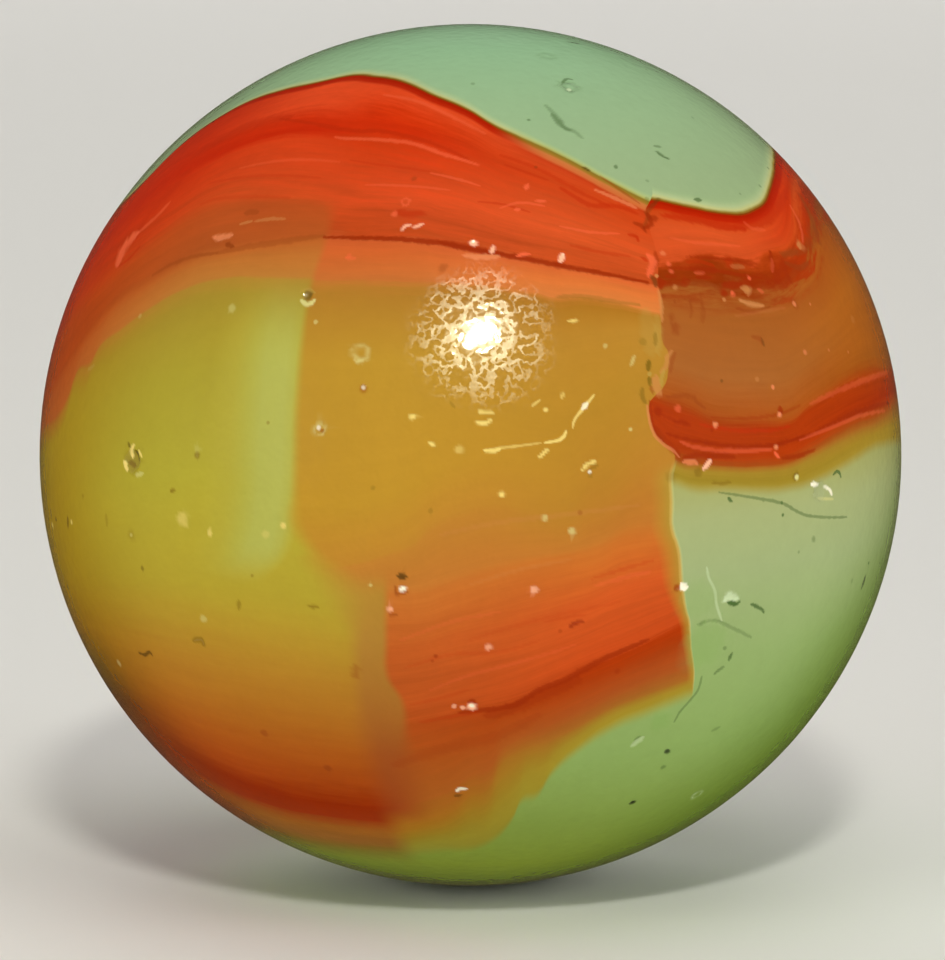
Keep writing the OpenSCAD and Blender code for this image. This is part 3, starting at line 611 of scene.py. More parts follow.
    dot((-10.2, 45.4), 0.11, UMBER_SPECK_AND_SHADE, 0.3),
    ring((-11.1, 41.7), 0.17, CORAL, 0.5),
    dot((-12.5, 39.8), 0.11, CORAL, 0.6),
    line([(9.6, 43.7), (10.2, 44.5)], 0.09, CORAL, 0.7),
    line([(11.1, 41.8), (12.9, 41.8)], 0.07, CORAL, 0.6),
    line([(7.4, 40.5), (8.2, 40.6)], 0.09, CORAL, 0.6),
    line([(7, 33.7), (8.1, 34), (9, 34)], 0.07, CORAL, 0.8),
    dot((-4.1, 32.1), 0.17, RUSSET, 0.4),
    line([(-19, 33.2), (-17.6, 33.2)], 0.09, CORAL, 0.4),
    dot((-18.6, 33.5), 0.11, CORAL, 0.4),
    # Pit with painted shade on its upper wall and a painted glint below it
    line([(-9.2, -7.4), (-8.1, -7.5)], 0.13, UMBER_SPECK_AND_SHADE, 0.85),
    dot((-8.6, -9.1), 0.13, IVORY_CHIP_AND_GLINT, 0.98, depth=0.02),
    line([(-9.4, -8.6), (-9.4, -9.7), (-7.9, -9.4)], 0.07, RUSSET, 0.7),
    dot((-12.7, -8.7), 0.07, PALE, 0.6),
    dot((-10.3, -11.8), 0.11, ROSE_CHIP_AND_GLINT, 0.7),
    line([(-10.5, -12.6), (-9.5, -12.4)], 0.07, RUSSET, 0.6),
    dot((3.9, 3.1), 0.11, LEMON_SPECK_AND_GLINT, 0.85),
    dot((9.3, 0.1), 0.11, PALE, 0.55),
    dot((12.8, -1.7), 0.13, PALE, 0.6, depth=0.01),
    dot((13.8, 0.6), 0.09, RUSSET, 0.4),
    dot((8.1, -9.1), 0.15, ROSE_CHIP_AND_GLINT, 0.7, depth=0.012),
    line([(13, -14.3), (13.7, -13.8), (14.7, -13.6)], 0.09, MAROON, 0.75, depth=0.01),
    dot((11.7, -14.8), 0.07, MAROON, 0.4),
    dot((2.4, -16.8), 0.13, ROSE_CHIP_AND_GLINT, 0.6, depth=0.01),
    dot((-4.6, -18.1), 0.07, MAROON, 0.6),
    dot((-5.1, -18.8), 0.06, MAROON, 0.4),
    dot((-12.3, 3.7), 0.09, DRAB, 0.4),
    dot((-5, 1), 0.09, DRAB, 0.4),
    line([(15.1, 5.5), (15.3, 4.9)], 0.07, DRAB, 0.4),
    # Chip with painted glints
    line([(-0.3, -25.1), (0.3, -24.8), (0.6, -25.9)], 0.11, MAROON, 0.8),
    dot((0.2, -25.6), 0.17, ROSE_CHIP_AND_GLINT, 0.98, depth=0.02),
    dot((0.2, -25.5), 0.09, IVORY_CHIP_AND_GLINT, 0.9),
    dot((-1.1, -25.7), 0.09, ROSE_CHIP_AND_GLINT, 0.8),
    dot((-2.3, -25.5), 0.09, ROSE_CHIP_AND_GLINT, 0.6),
    # Chip with a painted glint
    line([(-2.4, -40.5), (-1.7, -39.9), (-0.7, -39.9)], 0.09, IVORY_CHIP_AND_GLINT, 0.9, depth=0.01),
    line([(-2.6, -41.4), (-1.6, -41.1)], 0.09, UMBER_SPECK_AND_SHADE, 0.6),
    dot((20.2, -20.9), 0.11, MAROON, 0.4),
    line([(22.4, 19.9), (21.7, 18.7)], 0.07, PALE, 0.45),
    dot((20.8, 10.7), 0.07, PALE, 0.6),
    dot((18.4, 21.4), 0.09, PALE, 0.4),
    line([(12.3, 28), (15.7, 28), (20.4, 27.2), (24.5, 26.5)], 0.09, DRAB, 0.4),
    # Marks of the pale glass above
    ring((29.6, 63.1), 0.35, MOSS, 0.55, depth=0.02),
    line([(28.2, 64.2), (30.8, 64.9), (32.5, 64.6)], 0.06, MOSS, 0.6),
    dot((28.5, 62.4), 0.09, MINT_PALE, 0.8),
    ring((33.9, 71.7), 0.3, MOSS, 0.25, depth=0.008),
    line([(64.9, 75.7), (69.9, 74.5)], 0.07, MOSS, 0.7),
    line([(18.9, 59), (20.3, 56.6), (21.1, 54.2), (22.6, 53.6), (23.9, 52.2)], 0.11, MOSS, 0.35),
    line([(19.5, 57.1), (20.3, 55), (22, 53.8)], 0.13, MOSS, 0.45, depth=0.008),
    line([(39.6, 50), (41.2, 49.8)], 0.07, MOSS, 0.5),
    line([(39.2, 49.1), (40.1, 48.2), (41.1, 47.6)], 0.07, MOSS, 0.75, depth=0.01),
    dot((13.4, 56), 0.07, MOSS, 0.6),
    dot((0.7, 64.2), 0.09, MOSS, 0.35),
    dot((28.1, 46.9), 0.09, MOSS, 0.65),
    line([(41.2, 40.8), (42.6, 40.7)], 0.09, MOSS, 0.75),
    dot((31.4, 41.5), 0.09, MOSS, 0.35),
    dot((33.2, 44.3), 0.07, MOSS, 0.3),
    dot((53.1, 40.9), 0.06, MOSS, 0.35),
    line([(21.4, 47.1), (22.5, 46.4)], 0.07, UMBER_SPECK_AND_SHADE, 0.75),
    dot((59.5, 54.3), 0.07, MOSS, 0.25),
    dot((69.8, 43.9), 0.07, MOSS, 0.5),
    dot((60.8, 41.6), 0.07, MOSS, 0.4),
    dot((-74.4, 57.3), 0.06, MOSS, 0.5),
]

SPRINKLE_SEED = 11
SPRINKLE_COUNT = 90
SPRINKLE_WIDTHS = (0.06, 0.16)
SPRINKLE_TINTS = ((UMBER_SPECK_AND_SHADE, 0.5), (UMBER_SPECK_AND_SHADE, 0.35), (PALE, 0.4), (PALE, 0.6))
SPRINKLE_DEPTHS = (0, 0, 0.012, 0.02)
# Heights that it keeps between, and how far forward it comes, for a ball of radius 1
SPRINKLE_HEIGHTS = (-0.95, 0.95)
SPRINKLE_FRONT = -0.15


def sprinkle():
    """Small pits and specks over the sides and the back, where the wear is light."""
    dice = random.Random(SPRINKLE_SEED)
    made = []
    while len(made) < SPRINKLE_COUNT:
        lon = dice.uniform(-180, 180)
        lat = math.degrees(math.asin(dice.uniform(*SPRINKLE_HEIGHTS)))
        width = dice.uniform(*SPRINKLE_WIDTHS)
        tint, share = dice.choice(SPRINKLE_TINTS)
        depth = dice.choice(SPRINKLE_DEPTHS)
        if on_ball(lon, lat, 1).y > SPRINKLE_FRONT:
            made.append(dot((lon, lat), width, tint, share, depth))
    return made


# ---------------------------------------------------------------- shader wiring


class Wiring:
    """Short calls that add nodes to a node tree and join them."""

    def __init__(self, tree):
        self.tree = tree

    def node(self, kind, **settings):
        made = self.tree.nodes.new(kind)
        for name, value in settings.items():
            setattr(made, name, value)
        return made

    def feed(self, socket, value):
        if isinstance(value, bpy.types.NodeSocket):
            self.tree.links.new(value, socket)
        else:
            socket.default_value = value

    def feed_all(self, node, values):
        """Feeds values to a node's inputs, by name from a dict or else in order."""
        pairs = values.items() if isinstance(values, dict) else enumerate(values)
        for key, value in pairs:
            self.feed(node.inputs[key], value)
        return node

    def math(self, operation, *values):
        return self.feed_all(self.node("ShaderNodeMath", operation=operation), values).outputs[0]

    def vector(self, operation, *values, output=0):
        made = self.node("ShaderNodeVectorMath", operation=operation)
        return self.feed_all(made, values).outputs[output]

    def place(self, x, y, z=0.0):
        return self.feed_all(self.node("ShaderNodeCombineXYZ"), (x, y, z)).outputs[0]

    def remap(self, value, low, high, to_low=0.0, to_high=1.0, smooth=True):
        """Value taken from low..high to another range, and held at its ends."""
        kind = "SMOOTHSTEP" if smooth else "LINEAR"
        made = self.node("ShaderNodeMapRange", interpolation_type=kind)
        given = {"Value": value, "From Min": low, "From Max": high, "To Min": to_low, "To Max": to_high}
        return self.feed_all(made, given).outputs["Result"]

    def window(self, value, low, high, soft):
        """1 between low and high, falling to 0 over soft outside them."""
        rise = self.remap(value, low - soft, low)
        fall = self.remap(value, high, high + soft, 1.0, 0.0)
        return self.math("MULTIPLY", rise, fall)

    def mix(self, share, below, above, blend="MIX"):
        made = self.node("ShaderNodeMix", data_type="RGBA", blend_type=blend)
        # Inputs 6 and 7 and output 2 are the node's colours
        return self.feed_all(made, {0: share, 6: below, 7: above}).outputs[2]

    def grey(self, value):
        """Colour with the value in all three channels."""
        return self.feed_all(self.node("ShaderNodeCombineColor"), (value,) * 3).outputs[0]

    def noise(self, place, scale, detail=2.0, roughness=0.5):
        made = self.node("ShaderNodeTexNoise", noise_dimensions="3D")
        given = {"Vector": place, "Scale": scale, "Detail": detail, "Roughness": roughness}
        return self.feed_all(made, given).outputs["Fac"]

    def sway(self, value, amount):
        """Noise value as a shift of about plus or minus half the amount."""
        return self.math("MULTIPLY_ADD", value, amount, -amount / 2)

    def curve(self, value, points, across, up):
        """Smooth curve through the points, with both of its axes scaled to 0..1."""
        made = self.node("ShaderNodeFloatCurve")
        dots = made.mapping.curves[0].points
        placed = [((x - across[0]) / (across[1] - across[0]), (y - up[0]) / (up[1] - up[0]))
                  for x, y in points]
        dots[0].location = placed[0]
        dots[1].location = placed[-1]
        for place in placed[1:-1]:
            dots.new(*place)
        made.mapping.update()
        self.feed(made.inputs["Value"], value)
        return made.outputs["Value"]

    def ramp(self, value, stops):
        """Colour and alpha of the stops' ramp at a value."""
        low, high = stops[0][0], stops[-1][0]
        made = self.node("ShaderNodeValToRGB")
        dots = made.color_ramp.elements
        dots[0].position = 0.0
        dots[1].position = 1.0
        dots[0].color = stops[0][1]
        dots[1].color = stops[-1][1]
        for spot, colour in stops[1:-1]:
            dots.new((spot - low) / (high - low)).color = colour
        self.feed(made.inputs["Fac"], self.remap(value, low, high, smooth=False))
        return made.outputs["Color"], made.outputs["Alpha"]


def new_group(name, inputs, output):
    """Node group with inputs (name, kind) and one colour output, its wiring and its ends."""
    group = bpy.data.node_groups.new(name, "ShaderNodeTree")
    for label, kind in inputs:
        group.interface.new_socket(label, in_out="INPUT", socket_type=kind)
    group.interface.new_socket(output, in_out="OUTPUT", socket_type="NodeSocketColor")
    w = Wiring(group)
    return group, w, w.node("NodeGroupInput").outputs, w.node("NodeGroupOutput").inputs


# ---------------------------------------------------------------- panels of the swirl

LATITUDES = (-90, 90)
LONGITUDES = (-180, 180)
GAP_SPOTS = 24

# Noise drawn out along the glass: its scale per degree along the flow and across it
Flow = namedtuple("Flow", "along across layer detail roughness")
FINE_STREAKS = Flow(0.05, 0.9, 0.0, 5.0, 0.68)
BROAD_STREAKS = Flow(0.035, 0.22, 7.0, 2.0, 0.5)
TORN_EDGE = Flow(0.14, 0.7, 3.0, 4.0, 0.62)
FINE_TONE = 0.5
BROAD_TONE = 0.35
STREAK_SHIFT = 0.32
TORN_SOFT = 0.25
TOP_EDGE = (-0.1, 0.3)

# span: longitudes it covers; near and far: colours at the longitudes near_lon and
# far_lon; low_blend: degrees over which its foot turns to the base glass; broad_lons:
# where its top edge turns to the broad fringe; torn: bands torn, and by how much
Panel = namedtuple("Panel", "name span edges near far near_lon far_lon low_blend broad_lons torn",
                   defaults=(None, None))

PANELS = [
    Panel("left_swirl", (-155, -5),
          [MAROON_LOW, TAN_LOW, YELLOW_LOW, BROWN_LOW, BROWN_MIDDLE, RED_LOW, LEFT_TOP],
          LEFT_NEAR, LEFT_FAR, near_lon=-42, far_lon=-74, low_blend=5),
    Panel("middle_swirl", (-30, 36),
          [OLIVE_LOW, RUST_LOW, ORANGE_LOW, AMBER_LOW, AMBER_MIDDLE, PEACH_LOW, THREAD, MIDDLE_TOP],
          MIDDLE_NEAR, MIDDLE_FAR, near_lon=20, far_lon=-15, low_blend=2, broad_lons=(4, 16)),
    Panel("right_swirl", (18, 218),
          [RIGHT_OLIVE_LOW, RIGHT_ORANGE_LOW, RIGHT_TAN_LOW, RIGHT_DARK_LOW, RIGHT_RED_LOW, RIGHT_TOP],
          RIGHT_NEAR, RIGHT_FAR, near_lon=42, far_lon=70, low_blend=1.2, torn=(2.95, 3.9, 0.8))]


def typical_gap(lower, upper):
    """Mean height between two lines across the ball, in degrees."""
    spots = np.linspace(lower[0][0], lower[-1][0], GAP_SPOTS)
    return float(np.mean(np.interp(spots, *zip(*upper)) - np.interp(spots, *zip(*lower))))


def panel_group(panel):
    """Group that colours a panel from a place on the ball.

    Longitude is in degrees, and Height is the latitude scaled to 0..1."""
    sockets = [("Longitude", "NodeSocketFloat"), ("Height", "NodeSocketFloat"),
               ("Base", "NodeSocketColor")]
    group, w, given, made = new_group(panel.name, sockets, "Color")
    lon, height, base = given["Longitude"], given["Height"], given["Base"]
    over = w.remap(lon, *panel.span, smooth=False)
    lines = [w.curve(over, points, panel.span, LATITUDES) for points in panel.edges]

    # How many edges lie below, and the height above the lowest edge as the glass flowed
    band, flowed = 0.0, 0.0
    for lower, upper, low, high in zip(lines, lines[1:], panel.edges, panel.edges[1:]):
        share = w.remap(height, lower, upper, smooth=False)
        band = w.math("ADD", band, share)
        flowed = w.math("MULTIPLY_ADD", share, typical_gap(low, high), flowed)

    def flow_noise(flow):
        along = w.math("MULTIPLY", lon, flow.along)
        across = w.math("MULTIPLY", flowed, flow.across)
        return w.noise(w.place(along, across, flow.layer), 1.0, flow.detail, flow.roughness)

    fine = flow_noise(FINE_STREAKS)
    _, streakiness = w.ramp(band, panel.near)
    shift = w.math("MULTIPLY", w.sway(fine, STREAK_SHIFT), streakiness)
    if panel.torn:
        low, high, amount = panel.torn
        here = w.window(band, low, high, TORN_SOFT)
        shift = w.math("MULTIPLY_ADD", w.sway(flow_noise(TORN_EDGE), 2 * amount), here, shift)
    spot = w.math("ADD", band, shift)
    is_far = w.remap(lon, panel.near_lon, panel.far_lon)
    colour = w.mix(is_far, w.ramp(spot, panel.near)[0], w.ramp(spot, panel.far)[0])
    streaks = w.math("ADD", w.sway(fine, FINE_TONE), w.sway(flow_noise(BROAD_STREAKS), BROAD_TONE))
    tone = w.math("MULTIPLY_ADD", streaks, streakiness, 1.0)
    colour = w.mix(1.0, colour, w.grey(tone), "MULTIPLY")

    # Base glass below the lowest edge and above the top edge
    degrees = LATITUDES[1] - LATITUDES[0]
    over_top = w.math("MULTIPLY", w.math("SUBTRACT", height, lines[-1]), degrees)
    under_low = w.math("MULTIPLY", w.math("SUBTRACT", height, lines[0]), degrees)
    colour = w.mix(w.remap(under_low, -panel.low_blend, panel.low_blend / 2), base, colour)
    colour = w.mix(w.remap(over_top, *TOP_EDGE), colour, base)

    edge_colour, edge_share = w.ramp(over_top, STRIPE_AND_FRINGE)
    if panel.broad_lons:
        broad_colour, broad_share = w.ramp(over_top, BROAD_FRINGE)
        is_broad = w.remap(lon, *panel.broad_lons)
        edge_colour = w.mix(is_broad, edge_colour, broad_colour)
        edge_share = w.remap(is_broad, 0.0, 1.0, edge_share, broad_share, smooth=False)
    w.feed(made["Color"], w.mix(edge_share, colour, edge_colour))
    return group


# ---------------------------------------------------------------- material of the ball

# Noise in the glass, by its scale
WAVER_SCALE = 900.0
CLOUD_SCALE = 260.0
DUST_SCALE = 3800.0
PORE_SCALE = 5200.0
CURL_SCALE = 5200.0

# How far each line wavers, in degrees
LATITUDE_SWAY = 0.55
LAP_SWAY = 1.0
FRONT_SWAY = 0.6
PALE_SWAY = 1.5
SCUFF_SWAY = 6.0

# How squarely the glass faces the deep side where its deeper green and painted shade
# start, and where they are full
SHADED_DEEP_REACH = (0.5, 0.92)
SHADED_DEEP_SWAY = 0.12
# Share by which cloudiness lightens and darkens all the colours
CLOUD_TONE = 0.16
DUST_TONE = 0.08

# Latitudes where the pale stripe comes in and goes out
STRIPE_RISE = (-10.0, -4.0)
STRIPE_FALL = (18.0, 32.0)
# The tan strip's latitudes, and where its edge turns from crisp to blurred
STRIP_LATS = (-44.0, -10.5)
STRIP_SOFT = 4.5
STRIP_EDGE = 0.7
STRIP_BLUR_LATS = (-36.0, -24.0)
STRIP_BLUR = 0.16
# The seam fringe's latitudes, and how much narrower it is at their foot
FRINGE_LATS = (-23.0, 4.0)
FRINGE_SOFT = 3.0
FRINGE_TAPER_LATS = (-20.0, -8.0)
FRINGE_TAPER = 2.4
# The lap's blend reaches further to its west than to its east
LAP_BLEND_RANGE = (0, 10)
LAP_WEST = 1.6
LAP_EAST = 0.6
FRONT_EDGE = 0.12
BACK_EDGE = 0.3

# Fine curled scratches round the highlight: the width of a curl, and the angles from
# the middle of the scuffed patch at which they thin out, from the outside in
CURL_WIDTH = 0.066
CURL_CORE = 0.7
SCUFFED_SIDE = on_ball(1.3, 23.4, 1)
SCUFF_REACH = (11.8, 6.4)

GLASS_ROUGHNESS = 0.1
CURL_ROUGHNESS = 0.35
WORN_ROUGHNESS = 0.5
PORE_HEIGHT = 0.01 * MM
GLASS_IOR = 1.24
SMOOTH_SHARE = 0.2
SMOOTH_ROUGHNESS = 0.07


def swirl_colour(w, aim, lon, lat, waver, cloud):
    """Colour of the swirl: the base glass, the three panels, and the seams between them."""
    height = w.remap(lat, *LATITUDES, smooth=False)

    base, _ = w.ramp(lat, BASE_GLASS)
    # Deeper green towards the lower right back: partly the glass's own tone, partly painted shade
    side = w.vector("DOT_PRODUCT", aim, SHADED_DEEP_SIDE, output="Value")
    deep = w.remap(w.math("ADD", side, w.sway(cloud, SHADED_DEEP_SWAY)), *SHADED_DEEP_REACH)
    base = w.mix(deep, base, SHADED_DEEP_GLASS)

    def coloured(panel):
        # The right panel runs on past the back, so its longitude runs from 0 to 360
        east = w.math("WRAP", lon, 360.0, 0.0) if panel.span[1] > LONGITUDES[1] else lon
        made = w.node("ShaderNodeGroup", node_tree=panel_group(panel))
        given = {"Longitude": east, "Height": height, "Base": base}
        return w.feed_all(made, given).outputs["Color"]

    def line(points, low, high):
        """Value of a line down the ball at this latitude."""
        return w.math("MULTIPLY_ADD", w.curve(height, points, LATITUDES, (low, high)), high - low, low)

    def past(seam):
        """Degrees east of a line down the ball."""
        return w.math("SUBTRACT", lon, line(seam, *LONGITUDES))

    left, middle, right = [coloured(panel) for panel in PANELS]
    past_lap = w.math("ADD", past(LAP), w.sway(cloud, LAP_SWAY))
    past_front = w.math("ADD", past(FRONT_SEAM), w.sway(waver, FRONT_SWAY))

    past_pale = w.math("ADD", past(PALE_LINE), w.sway(cloud, PALE_SWAY))
    stripe, stripe_share = w.ramp(w.math("MULTIPLY", past_pale, -1.0), PALE_STRIPE)
    rise = w.remap(lat, *STRIPE_RISE)
    fall = w.remap(lat, *STRIPE_FALL, 1.0, 0.0)
    stripe_share = w.math("MULTIPLY", stripe_share, w.math("MULTIPLY", rise, fall))
    left = w.mix(stripe_share, left, stripe)

    strip, _ = w.ramp(lat, TAN_STRIP)
    crispness = w.remap(lat, *STRIP_BLUR_LATS, STRIP_BLUR, 1.0)
    past_orange = w.math("MULTIPLY", past(ORANGE_EDGE), crispness)
    before_orange = w.remap(past_orange, -STRIP_EDGE, STRIP_EDGE, 1.0, 0.0)
    strip_share = w.math("MULTIPLY", before_orange, w.window(lat, *STRIP_LATS, STRIP_SOFT))
    middle = w.mix(strip_share, middle, strip)

    blend = line(LAP_BLEND, *LAP_BLEND_RANGE)
    lap_share = w.remap(past_lap, w.math("MULTIPLY", blend, -LAP_WEST),
                        w.math("MULTIPLY", blend, LAP_EAST))
    colour = w.mix(lap_share, left, middle)
    is_right = w.math("MAXIMUM", w.remap(past_front, -FRONT_EDGE, FRONT_EDGE),
                      w.remap(past(BACK_SEAM), BACK_EDGE, -BACK_EDGE))
    colour = w.mix(is_right, colour, right)

    taper = w.remap(lat, *FRINGE_TAPER_LATS, FRINGE_TAPER, 1.0)
    fringe, fringe_share = w.ramp(w.math("MULTIPLY", past_front, taper), SEAM_FRINGE)
    fringe_share = w.math("MULTIPLY", fringe_share, w.window(lat, *FRINGE_LATS, FRINGE_SOFT))
    return w.mix(fringe_share, colour, fringe)


def scuffed_roughness(w, place, aim, waver):
    """Roughness of the skin, with curled scratches in the scuffed patch."""
    curl = w.noise(place, CURL_SCALE)
    off_curl = w.math("ABSOLUTE", w.math("SUBTRACT", curl, 0.5))
    in_curl = w.remap(off_curl, CURL_WIDTH * CURL_CORE, CURL_WIDTH, 1.0, 0.0)
    facing = w.vector("DOT_PRODUCT", aim, SCUFFED_SIDE, output="Value")
    angle = w.math("DEGREES", w.math("ARCCOSINE", facing))
    scuffed = w.remap(w.math("ADD", angle, w.sway(waver, SCUFF_SWAY)), *SCUFF_REACH)
    share = w.math("MULTIPLY", in_curl, scuffed)
    return w.remap(share, 0.0, 1.0, GLASS_ROUGHNESS, CURL_ROUGHNESS, smooth=False)


def swirl_glass():
    """Worn swirl glass, patterned by the place on the ball."""
    material = bpy.data.materials.new("swirl_glass")
    material.use_nodes = True
    material.node_tree.nodes.clear()
    w = Wiring(material.node_tree)
    place = w.node("ShaderNodeTexCoord").outputs["Object"]
    aim = w.vector("NORMALIZE", place)
    x, y, z = w.feed_all(w.node("ShaderNodeSeparateXYZ"), (aim,)).outputs
    waver = w.noise(place, WAVER_SCALE, detail=4.0, roughness=0.62)
    cloud = w.noise(place, CLOUD_SCALE, detail=3.0, roughness=0.55)
    lon = w.math("DEGREES", w.math("ARCTAN2", x, w.math("MULTIPLY", y, -1.0)))
    lat = w.math("ADD", w.math("DEGREES", w.math("ARCSINE", z)), w.sway(waver, LATITUDE_SWAY))
    colour = swirl_colour(w, aim, lon, lat, waver, cloud)

    # Cloudiness, then the marks over it
    dust = w.noise(place, DUST_SCALE, detail=3.0, roughness=0.6)
    tone = w.math("ADD", w.sway(cloud, CLOUD_TONE), w.sway(dust, DUST_TONE))
    colour = w.mix(1.0, colour, w.grey(w.math("ADD", tone, 1.0)), "MULTIPLY")
    # The marks attribute holds chips and specks, and also painted glints and painted shade at some pits
    # and scratches
    marks = w.node("ShaderNodeAttribute", attribute_name="marks")
    colour = w.mix(marks.outputs["Alpha"], colour, (0, 0, 0, 1))
    colour = w.mix(1.0, colour, marks.outputs["Color"], "ADD")

    wear = w.node("ShaderNodeAttribute", attribute_name="wear").outputs["Fac"]
    skin = scuffed_roughness(w, place, aim, waver)
    bump = w.node("ShaderNodeBump")
    bump.inputs["Distance"].default_value = PORE_HEIGHT
    w.feed(bump.inputs["Height"], w.noise(place, PORE_SCALE, detail=1.0))

    # A low index keeps the colours clear at the rim, and a thin smooth coat gives the
    # highlight its core
    shader = w.node("ShaderNodeBsdfPrincipled")
    w.feed_all(shader, {
        "Base Color": colour,
        "Roughness": w.remap(wear, 0.0, 1.0, skin, WORN_ROUGHNESS, smooth=False),
        "Normal": bump.outputs["Normal"],
        "IOR": GLASS_IOR,
        "Coat Weight": SMOOTH_SHARE,
        "Coat Roughness": SMOOTH_ROUGHNESS,
        "Coat IOR": GLASS_IOR})
    w.feed(w.node("ShaderNodeOutputMaterial").inputs["Surface"], shader.outputs[0])
    return material


# ---------------------------------------------------------------- the ball

# The cube is cut into FIRST_CUTS + 1 cells along an edge, then halved; cells near the
# marks are halved again, until a dot or a line has this many cells across
FIRST_CUTS = 2
HALVINGS = 4
COARSE_CELL = math.pi / 2 * BALL_R / MM / ((FIRST_CUTS + 1) * 2 ** HALVINGS)
FINER_LEVELS = 4
DOT_CELLS = 4
LINE_CELLS = 2.95
CELL_SLACK = 0.72
CELL_MARGIN = 0.75

# How a mark is painted: the uneven edge, as (scale per mm, share of its width), the
# thin ends of a line, and the soft rims of full and hollow marks, in half widths
UNEVEN = ((9, 0.35), (24, 0.25))
THIN_END = 0.45
RIM_END = 1.3
RIM_SOFT = 0.7
RING_MIDDLE = 0.8
RING_SOFT = 0.24

# Depths in mm at which the surface is all worn, and that is the deepest of all
FULL_WEAR = 0.02
DEEPEST = 0.05
TRACE_STEPS = 6


def deselect_all():
    bpy.ops.object.select_all(action="DESELECT")


def round_off(ball):
    """Moves every vertex out to the ball's radius."""
    cast = ball.modifiers.new("round_off", "CAST")
    cast.cast_type = "SPHERE"
    cast.factor = 1.0
    cast.use_radius_as_size = False
    cast.size = BALL_R
    bpy.ops.object.modifier_apply(modifier=cast.name)


def subdivide(ball, cuts, chosen=None):
    """Cuts every face, or the chosen ones, and rounds the ball off."""
    if chosen is None:
        chosen = np.ones(len(ball.data.polygons), bool)
    bpy.ops.object.mode_set(mode="EDIT")
    bpy.ops.mesh.select_mode(type="FACE")
    bpy.ops.mesh.select_all(action="DESELECT")
    bpy.ops.object.mode_set(mode="OBJECT")
    ball.data.polygons.foreach_set("select", chosen)
    bpy.ops.object.mode_set(mode="EDIT")
    bpy.ops.mesh.subdivide(number_cuts=cuts, ngon=False)
    bpy.ops.object.mode_set(mode="OBJECT")
    round_off(ball)


def trace(path):
    """Places in mm along a smooth line on the ball through the path's spots."""
    spots = [np.array(on_ball(*spot)) / MM for spot in path]
    if len(spots) == 1:
        return np.array(spots * 2)
    ends = [spots[0], *spots, spots[-1]]
    made = []
    for a, b, c, d in zip(ends, ends[1:], ends[2:], ends[3:]):
        for t in np.linspace(0, 1, TRACE_STEPS, endpoint=False):
            made.append(0.5 * (2 * b + (c - a) * t + (2 * a - 5 * b + 4 * c - d) * t ** 2
                               + (3 * b - a - 3 * c + d) * t ** 3))
    made.append(spots[-1])
    made = np.array(made)
    return made / np.linalg.norm(made, axis=1)[:, None] * BALL_R / MM


def reach(mark, places, margin):
    """Indices of the places near a mark, how far each is from its line, and how far
    along the line it lies, from 0 to 1."""
    spots = trace(mark.path)
    steps = np.linalg.norm(np.diff(spots, axis=0), axis=1)
    length = steps.sum()
    middle = spots[len(spots) // 2]
    far = np.linalg.norm(spots - middle, axis=1).max() + mark.width / 2 + margin
    near = np.flatnonzero(((places - middle) ** 2).sum(axis=1) < far ** 2)
    close = places[near]
    gap = np.full(len(near), np.inf)
    along = np.full(len(near), 0.5)
    run = 0.0
    for start, end, step in zip(spots, spots[1:], steps):
        t = np.clip((close - start) @ (end - start) / max(step ** 2, 1e-12), 0, 1)
        here = np.linalg.norm(close - start - t[:, None] * (end - start), axis=1)
        closer = here < gap
        gap[closer] = here[closer]
        if length:
            along[closer] = ((run + t * step) / length)[closer]
        run += step
    return near, gap, along


def coordinates(items, name):
    """Places of a mesh's vertices or faces, in mm."""
    found = np.empty(len(items) * 3)
    items.foreach_get(name, found)
    return found.reshape(-1, 3) / MM


def refine(ball, marks):
    """Cuts the faces round the marks smaller, level by level, to fit each mark's width."""
    for level in range(FINER_LEVELS):
        cell = COARSE_CELL / 2 ** level
        centres = coordinates(ball.data.polygons, "center")
        chosen = np.zeros(len(centres), bool)
        for mark in marks:
            across = DOT_CELLS if len(mark.path) == 1 else LINE_CELLS
            if mark.width / across < cell * CELL_SLACK:
                near, gap, _ = reach(mark, centres, cell)
                chosen[near[gap < mark.width / 2 + cell * CELL_MARGIN]] = True
        subdivide(ball, 1, chosen)


def cover_and_bowl(mark, out):
    """How fully a mark covers, and the shape of its hollow, by half widths from its line."""
    if mark.hollow:
        rim = np.exp(-((out - RING_MIDDLE) / RING_SOFT) ** 2)
        return rim, rim
    fade = np.clip((RIM_END - out) / RIM_SOFT, 0, 1)
    return fade * fade * (3 - 2 * fade), np.clip(1 - out ** 2, 0, 1)


